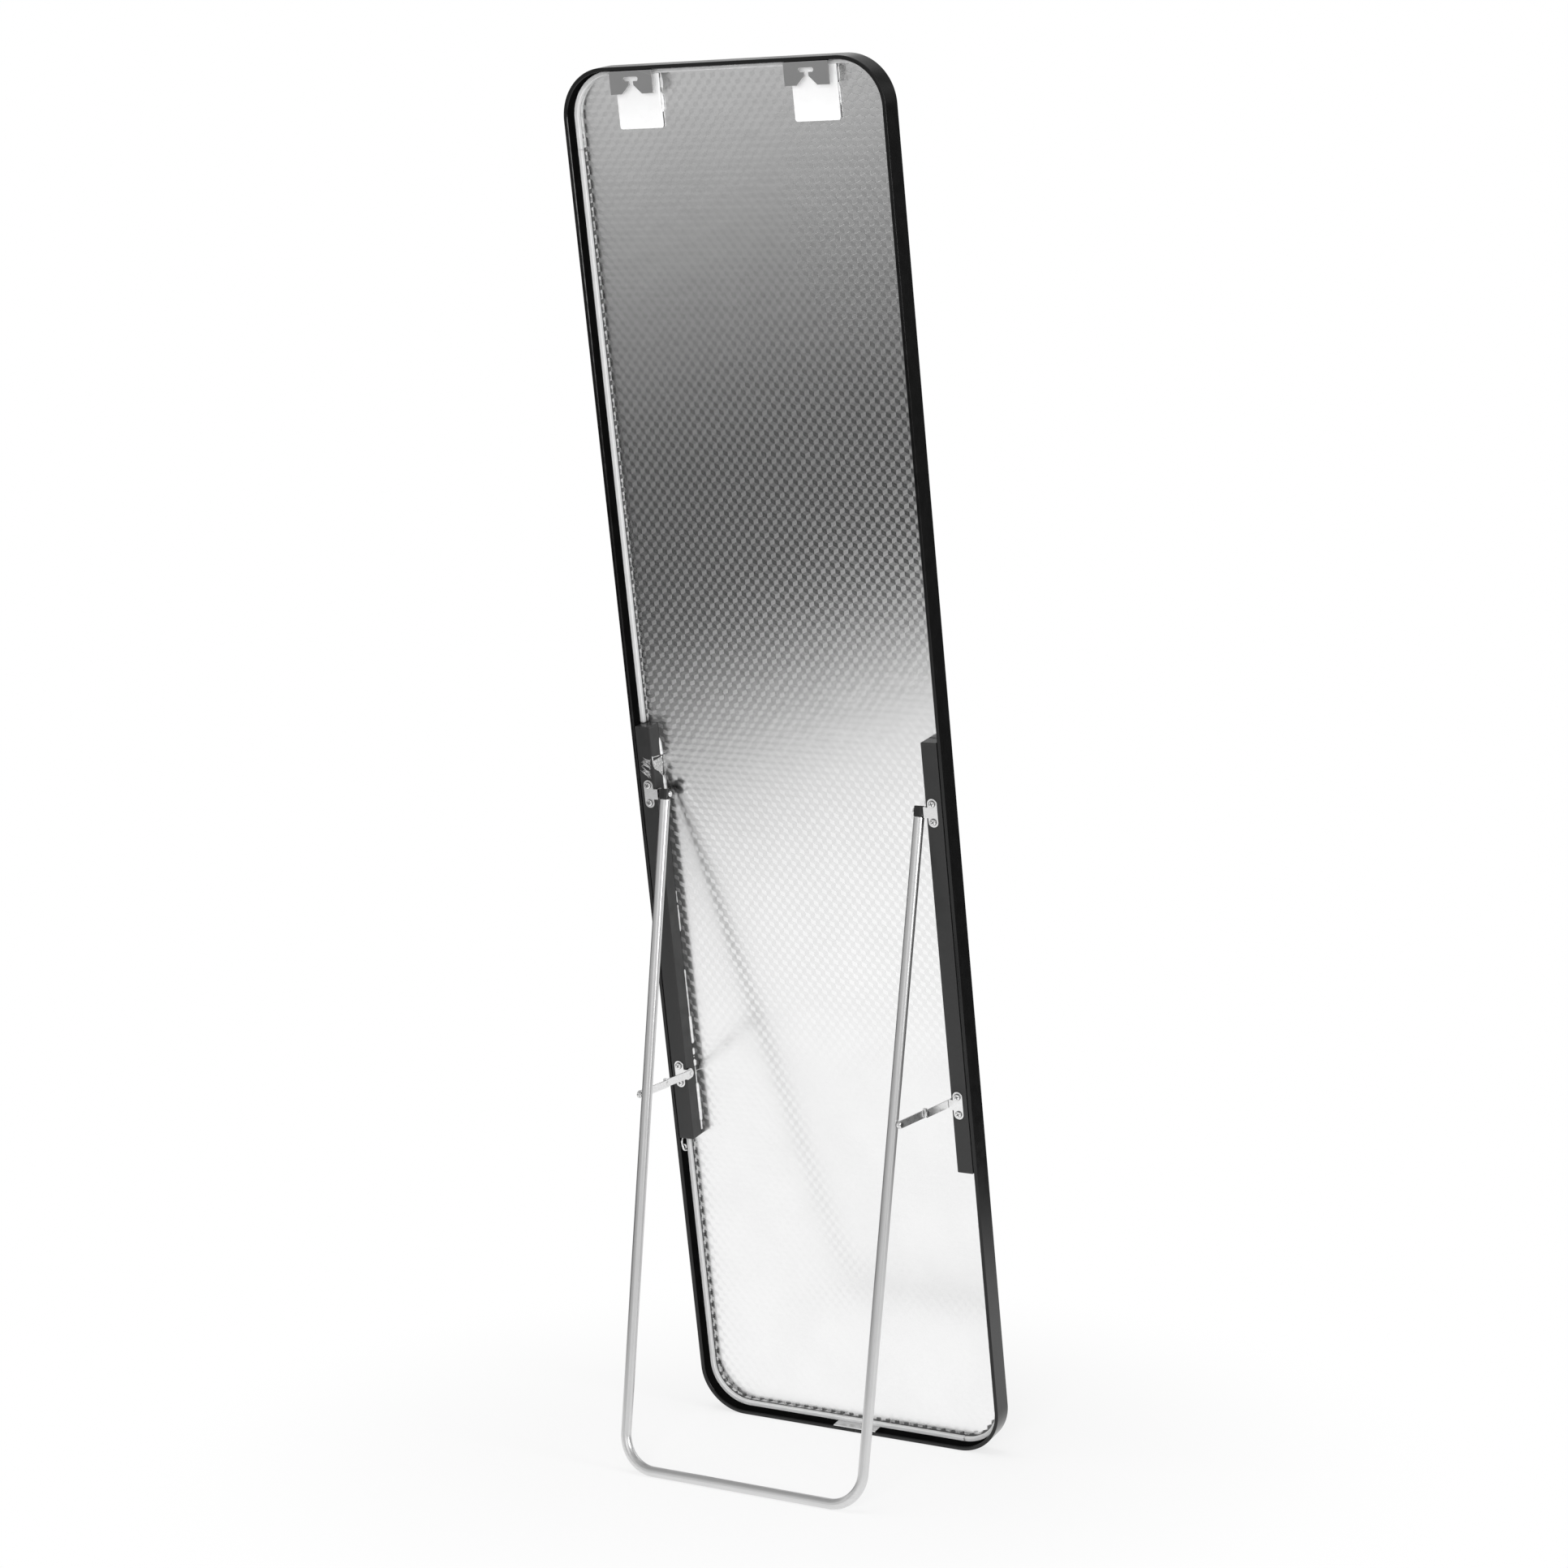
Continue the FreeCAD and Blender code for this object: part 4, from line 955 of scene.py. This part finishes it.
DOT_HALF = 1.2
DOT_RISE = 0.2
DOT_THICK = 1.8
GLUE_STRING = ((-174.9, 795.5, -18.4), (-174.4, 786.5, -18.7), (-174.6, 778.0, -18.7),
               (-175.0, 766.0, -18.9))
GLUE_THREAD = ((-175.4, 427.5, -18.3), (-173.8, 431.7, -19.2), (-168.0, 434.4, -19.4),
               (-162.1, 436.0, -19.5))
GLUE_LOOP = (
    ((-194.9, 351.0, -3.2), (-194.5, 352.0, -7.0), (-194.8, 350.2, -10.0),
     (-194.8, 348.6, -12.4)),
    ((-194.7, 351.2, -8.6), (-194.8, 348.2, -5.9), (-194.8, 343.9, -3.6), (-194.8, 335.1, -6.0),
     (-194.7, 332.6, -8.5), (-194.2, 330.8, -13.6)),
    ((-194.8, 341.0, -7.0), (-194.7, 338.6, -10.0), (-194.7, 335.2, -11.7),
     (-194.7, 333.8, -10.0)),
)
BLUNT = (0.3, 0.3)
# Each scrap's line, thickness, share of it left at the two ends, and lumpiness
SCRAPS = (
    (SPIKE, 2.8, (0.15, 0.9), 0.35),
    (GLUE_STRING, 2.3, (0.5, 0.8), 0.5),
    (GLUE_THREAD, 0.5),
    (GLUE_LOOP[0], 2.0, (0.4, 0.4), 0.4),
    (GLUE_LOOP[1], 2.1, (0.4, 0.4), 0.5),
    (GLUE_LOOP[2], 1.6, (0.4, 0.4), 0.5),
    *((rim, 0.8, (0.7, 0.7), 0.5) for rim in WEB_RIMS),
)
# Strands of the web: place across and shift in depth at the top, the middle and the lower end of
# each, height of the first two, then depth and lower end strand by strand
WEB_LINE = ((-175.25, 0.0), (-175.2, -0.4), (-175.2, 0.3))
WEB_TOP = 817.5
WEB_MIDDLE = 811.0
WEB_THICK = 3.7
WEB_STRANDS = ((-3.4, 809.5), (-5.2, 806.8), (-7.6, 806.4), (-9.4, 803.6), (-12.0, 802.6),
               (-14.2, 799.2), (-16.8, 797.8))
# Fine strokes on the left rail's rear face. Where each starts and how far it runs, across and up,
# is a value for the first one, the change up to the last one, and a scatter
FILAMENTS = 26
FILAMENT_U = (-177.5, -3.5, 4.0)
FILAMENT_V = (819.0, -24.0, 3.0)
FILAMENT_RUN_U = (-9.5, 0.0, 6.0)
FILAMENT_RUN_V = (1.0, 7.0, 6.0)
FILAMENT_BOW = 5.0
FILAMENT_THICK = 0.46
RAIL_FACE = (-192.8, -176.5)
# Beads beside the pads, with their thickness, and smears above them: middle, width and height
PAD_BEADS = (
    (3.4, ((-83.2, 1569.5, -18.8), (-82.0, 1563.0, -18.3), (-82.0, 1554.0, -18.3),
           (-83.0, 1548.5, -18.8))),
    (2.0, ((136.7, 1571.0, -19.0), (137.2, 1563.0, -18.8), (137.4, 1553.0, -18.8),
           (136.8, 1547.0, -19.0))),
)
PAD_SMEARS = ((-82.2, 1580.0, 3.6, 17.0), (137.2, 1580.0, 2.2, 18.0))
SMEAR_LAYERS = ((0.0, 1.0), (0.12, 0.96), (0.2, 0.8), (0.22, 0.3))
SMEAR_STEPS = 36


def smear_rings(u, v, wide, tall):
    """A thin low blister on the film, with a ragged outline."""
    film = Span("backing_film").w[1]
    rings = []
    for rise, share in SMEAR_LAYERS:
        ring = []
        for step in range(SMEAR_STEPS):
            angle = 2 * math.pi * step / SMEAR_STEPS
            right, up = math.cos(angle), math.sin(angle)
            ragged = 1 + 0.5 * wobble(spot(u + 9 * right, v + 9 * up, 0), 0.008, 6.0)
            reach_out = share * ragged / 2
            ring.append(spot(u + wide * reach_out * right, v + tall * reach_out * up, film + rise))
        rings.append(ring)
    return rings


def filament(number):
    """One fine stroke of the feathery scraps on the left rail, above its hinge plate."""
    seed = Vector((0, 0, number * 0.83))
    chance = [wobble(seed, 0.7, 3.0 + 1.7 * i) for i in range(5)]
    t = number / FILAMENTS
    rules = (FILAMENT_U, FILAMENT_V, FILAMENT_RUN_U, FILAMENT_RUN_V)
    values = [first + change * t + scatter * luck
              for (first, change, scatter), luck in zip(rules, chance)]
    right = Vector(values[:2])
    left = right + Vector(values[2:])
    points = []
    for i in range(5):
        place = right.lerp(left, i / 4)
        u = min(RAIL_FACE[1], max(RAIL_FACE[0], place.x))
        bow = FILAMENT_BOW * chance[4] * math.sin(math.pi * i / 4)
        w = 0.25 + 0.2 * math.sin(3.0 * i + number)
        points.append((u, place.y + bow, w))
    return strand(points, FILAMENT_THICK, (0.4, 0.25))


def web_strand(w, low):
    """One of the broad strands that the web beside the left rail is made of."""
    heights = (WEB_TOP + wobble(Vector((0, 0, w)), 1.7), WEB_MIDDLE, low)
    points = [(u, v, w + shift) for (u, shift), v in zip(WEB_LINE, heights)]
    return strand(points, WEB_THICK, (0.75, 0.75), 0.12)


def make_glue_scraps():
    skins = [strand(*scrap) for scrap in SCRAPS]
    for u, v, w in WEB_DOTS:
        points = ((u, v + DOT_HALF, w), (u, v, w + DOT_RISE), (u, v - DOT_HALF, w))
        skins.append(strand(points, DOT_THICK, BLUNT))
    new_piece("glue_scraps", loft("glue_scraps", *skins), "clear_glue")
    web = [web_strand(w, low) for w, low in WEB_STRANDS]
    web += [filament(number) for number in range(FILAMENTS)]
    new_piece("glue_web", loft("glue_web", *web), "clear_glue", material=THIN_GLUE)
    beads = [strand(points, thick, BLUNT, 0.5) for thick, points in PAD_BEADS]
    new_piece("pad_beads", loft("pad_beads", *beads), "clear_glue")
    smears = [smear_rings(*smear) for smear in PAD_SMEARS]
    new_piece("pad_smears", loft("pad_smears", *smears), "clear_glue", material=GLUE_SMEAR)


# Studio backdrop: white to the camera, with darker surroundings that only reflections see
DOME = 0.42
# Level low down from front to rear, and the sky over it by its rise above the horizon
HORIZON = (-0.3, 0.5, 0.07, 0.45)
SKY_LEVEL = 1.15
SKY_RISE = (0.15, 0.4)
LOW_SKY_RISE = (0.06, 0.2)
LOW_SKY_SHARE = 0.45
SKY_FALL = (0.3, 0.55, 1.0, 0.4)
# Turns are in degrees from straight behind, left being plus. A pale wall lies straight in front,
# for what the glass shows, with a dark part on the right of it
FRONT_WALL = (160.0, 172.0)
FRONT_LEVEL = 0.42
DARK_FROM = (-178.0, -166.0)
DARK_TO = (-125.0, -112.0)
DARK_SHARE = 0.75
# Softboxes from the object's right round to straight behind it, with two brighter spots
SOFTBOX_FROM = (-112.0, -98.0)
SOFTBOX_TO = (-2.0, 12.0)
SOFTBOX_LOW = (0.10, 0.145)
SOFTBOX_PEAKS = ((-20.0, 8.0, 0.6), (-84.0, 6.0, 0.5))
PEAK_FADE = 7


def make_world():
    world = bpy.data.worlds.new("studio")
    bpy.context.scene.world = world
    world.cycles.sampling_method = "NONE"
    tree = Tree(world)
    way = tree.add("TexCoord").outputs["Generated"]
    rise = tree.along((0, 0, 1), way)
    rear = tree.along((0, 1, 0), way)
    turn = tree.calc("ARCTAN2", tree.along((1, 0, 0), way), rear)
    turn = tree.calc("MULTIPLY", turn, 180 / math.pi)
    horizon = tree.spread(rear, *HORIZON)
    ahead = tree.spread(tree.calc("ABSOLUTE", turn), *FRONT_WALL, 0.0, FRONT_LEVEL)
    horizon = tree.calc("MAXIMUM", horizon, ahead)
    low_sky = tree.calc("MULTIPLY", tree.spread(rise, *LOW_SKY_RISE), LOW_SKY_SHARE)
    sky = tree.calc("MAXIMUM", tree.spread(rise, *SKY_RISE), low_sky)
    dark = tree.calc("MULTIPLY", tree.spread(turn, *DARK_FROM),
                     tree.spread(turn, *DARK_TO, DARK_SHARE, 0.0))
    sky = tree.calc("MULTIPLY", sky, tree.calc("SUBTRACT", 1.0, dark))
    boxes = tree.calc("MULTIPLY", tree.spread(turn, *SOFTBOX_FROM),
                      tree.spread(turn, *SOFTBOX_TO, 1.0, 0.0))
    lit = tree.spread(rise, *SOFTBOX_LOW)
    sky = tree.calc("MAXIMUM", sky, tree.calc("MULTIPLY", boxes, lit))
    room = tree.calc("MULTIPLY_ADD", tree.calc("SUBTRACT", SKY_LEVEL, horizon), sky, horizon)
    for centre, half, extra in SOFTBOX_PEAKS:
        off = tree.calc("ABSOLUTE", tree.calc("SUBTRACT", turn, centre))
        peak = tree.calc("MULTIPLY", tree.spread(off, half, half + PEAK_FADE, extra, 0.0), lit)
        room = tree.calc("ADD", room, peak)
    room = tree.calc("MULTIPLY", room, tree.spread(rise, *SKY_FALL))
    path = tree.add("LightPath")
    seen = tree.total(path.outputs["Is Camera Ray"], path.outputs["Is Transmission Ray"])
    seen = tree.calc("MINIMUM", seen, 1.0)
    glossy = path.outputs["Is Glossy Ray"]
    room = tree.calc("MULTIPLY_ADD", tree.calc("SUBTRACT", room, DOME), glossy, DOME)
    light = tree.calc("MULTIPLY_ADD", tree.calc("SUBTRACT", 1.0, room), seen, room)
    back = tree.add("Background", {"Color": tree.grey(light), "Strength": 1.0})
    out = tree.add("OutputWorld")
    tree.links.new(back.outputs[0], out.inputs["Surface"])


# Studio floor: white paper, which reflections see as a bright patch on a dark floor
FLOOR_HALF = 12.0
PAPER = (0.94, 0.94, 0.94, 1)
GLOW_FADE = (0.2, 0.8, 0.72, 1.0)
PAPER_CENTRE = (-0.772, 0.969, 0.0)
PAPER_EDGE = (1.6, 2.4)
DARK_FLOOR = 0.06
FAR_EDGE = (3.5, 7.0)
FAR_FLOOR = 0.56
# A paler strip in front of the mirror, for what the glass shows
STRIP_SIDE = (0.6, 0.9)
STRIP_REAR = (-0.9, -0.5)
FRONT_FLOOR = 0.34


def make_floor():
    material, tree = new_material("floor")
    material.cycles.emission_sampling = "NONE"
    where = tree.place()
    apart = tree.add("VectorMath", {0: where, 1: PAPER_CENTRE}, operation="DISTANCE")
    apart = apart.outputs["Value"]
    white = tree.spread(apart, *PAPER_EDGE, 1.0, DARK_FLOOR)
    far = tree.calc("MULTIPLY", tree.spread(apart, *FAR_EDGE, 0.0, FAR_FLOOR, smooth=False),
                    tree.spread(tree.along((0, 1, 0), where), -1.0, 1.0))
    aside = tree.calc("ABSOLUTE", tree.along((1, 0, 0), where))
    strip = tree.calc("MULTIPLY", tree.spread(aside, *STRIP_SIDE, 1.0, 0.0),
                      tree.spread(tree.along((0, 1, 0), where), *STRIP_REAR, FRONT_FLOOR, 0.0))
    white = tree.calc("MAXIMUM", white, strip)
    studio = tree.add("Emission", {"Color": tree.grey(tree.total(white, far))})
    paper = tree.add("BsdfDiffuse", {"Color": PAPER})
    glow = tree.add("Emission", {"Color": (1, 1, 1, 1)})
    path = tree.add("LightPath")
    away = tree.add("VectorMath", {0: where}, operation="LENGTH").outputs["Value"]
    fade = tree.spread(away, *GLOW_FADE)
    share = tree.calc("MULTIPLY", path.outputs["Is Camera Ray"], fade)
    shown = tree.add("MixShader", {0: share, 1: paper.outputs[0], 2: glow.outputs[0]})
    mixed = tree.add("MixShader", {0: path.outputs["Is Glossy Ray"], 1: shown.outputs[0],
                                   2: studio.outputs[0]})
    out = tree.add("OutputMaterial")
    tree.links.new(mixed.outputs[0], out.inputs["Surface"])
    mesh = bpy.data.meshes.new("floor")
    corners = [(x * FLOOR_HALF, y * FLOOR_HALF, 0) for x, y in ((-1, -1), (1, -1), (1, 1), (-1, 1))]
    mesh.from_pydata(corners, [], [(0, 1, 2, 3)])
    mesh.materials.append(material)
    floor = bpy.data.objects.new("floor", mesh)
    bpy.context.scene.collection.objects.link(floor)


# Lamps: name, place, aim, width, height, watts, and whether reflections show it
LAMPS = (
    ("key", (-1.3, 3.4, 1.4), (0, 0, 0.9), 1.5, 1.3, 67.0, False),
    ("side", (-2.96, 0.47, 1.38), (0, 0, 1.38), 0.9, 1.25, 26.0, True),
    ("overhead", (0.3, 0.6, 3.4), (0, 0, 0.4), 2.4, 2.4, 36.0, False),
)


def make_lamp(name, place, aim, wide, tall, power, mirrored):
    lamp = bpy.data.lights.new(name, "AREA")
    lamp.shape = "RECTANGLE"
    lamp.size = wide
    lamp.size_y = tall
    lamp.energy = power
    holder = bpy.data.objects.new(name, lamp)
    holder.location = place
    holder.rotation_mode = "QUATERNION"
    holder.rotation_quaternion = (Vector(aim) - Vector(place)).to_track_quat("-Z", "Y")
    holder.visible_camera = False
    holder.visible_glossy = mirrored
    bpy.context.scene.collection.objects.link(holder)


# Camera at the photograph's viewpoint
CAMERA_PLACE = Vector((-1.96728, 3.40047, 1.28089))
CAMERA_AIM = Vector((0.01069, 0.0, 0.78617))
CAMERA_ROLL = -0.456
IMAGE_SIDE = 1932
FOCAL_PIXELS = 4335.2


def make_camera():
    camera = bpy.data.cameras.new("camera")
    camera.sensor_width = 36.0
    camera.lens = camera.sensor_width * FOCAL_PIXELS / IMAGE_SIDE
    holder = bpy.data.objects.new("camera", camera)
    holder.location = CAMERA_PLACE
    holder.rotation_mode = "QUATERNION"
    straight = (CAMERA_AIM - CAMERA_PLACE).to_track_quat("-Z", "Y")
    holder.rotation_quaternion = straight @ Quaternion((0, 0, 1), math.radians(CAMERA_ROLL))
    bpy.context.scene.collection.objects.link(holder)
    bpy.context.scene.camera = holder


dress_nodes()
soften_plates()
make_frame()
make_stand()
make_foam()
for side_name in ("left", "right"):
    make_pad(side_name)
    make_bead(side_name)
make_glue_scraps()
make_world()
make_floor()
for lamp_values in LAMPS:
    make_lamp(*lamp_values)
make_camera()
bpy.context.scene.view_settings.view_transform = "Standard"
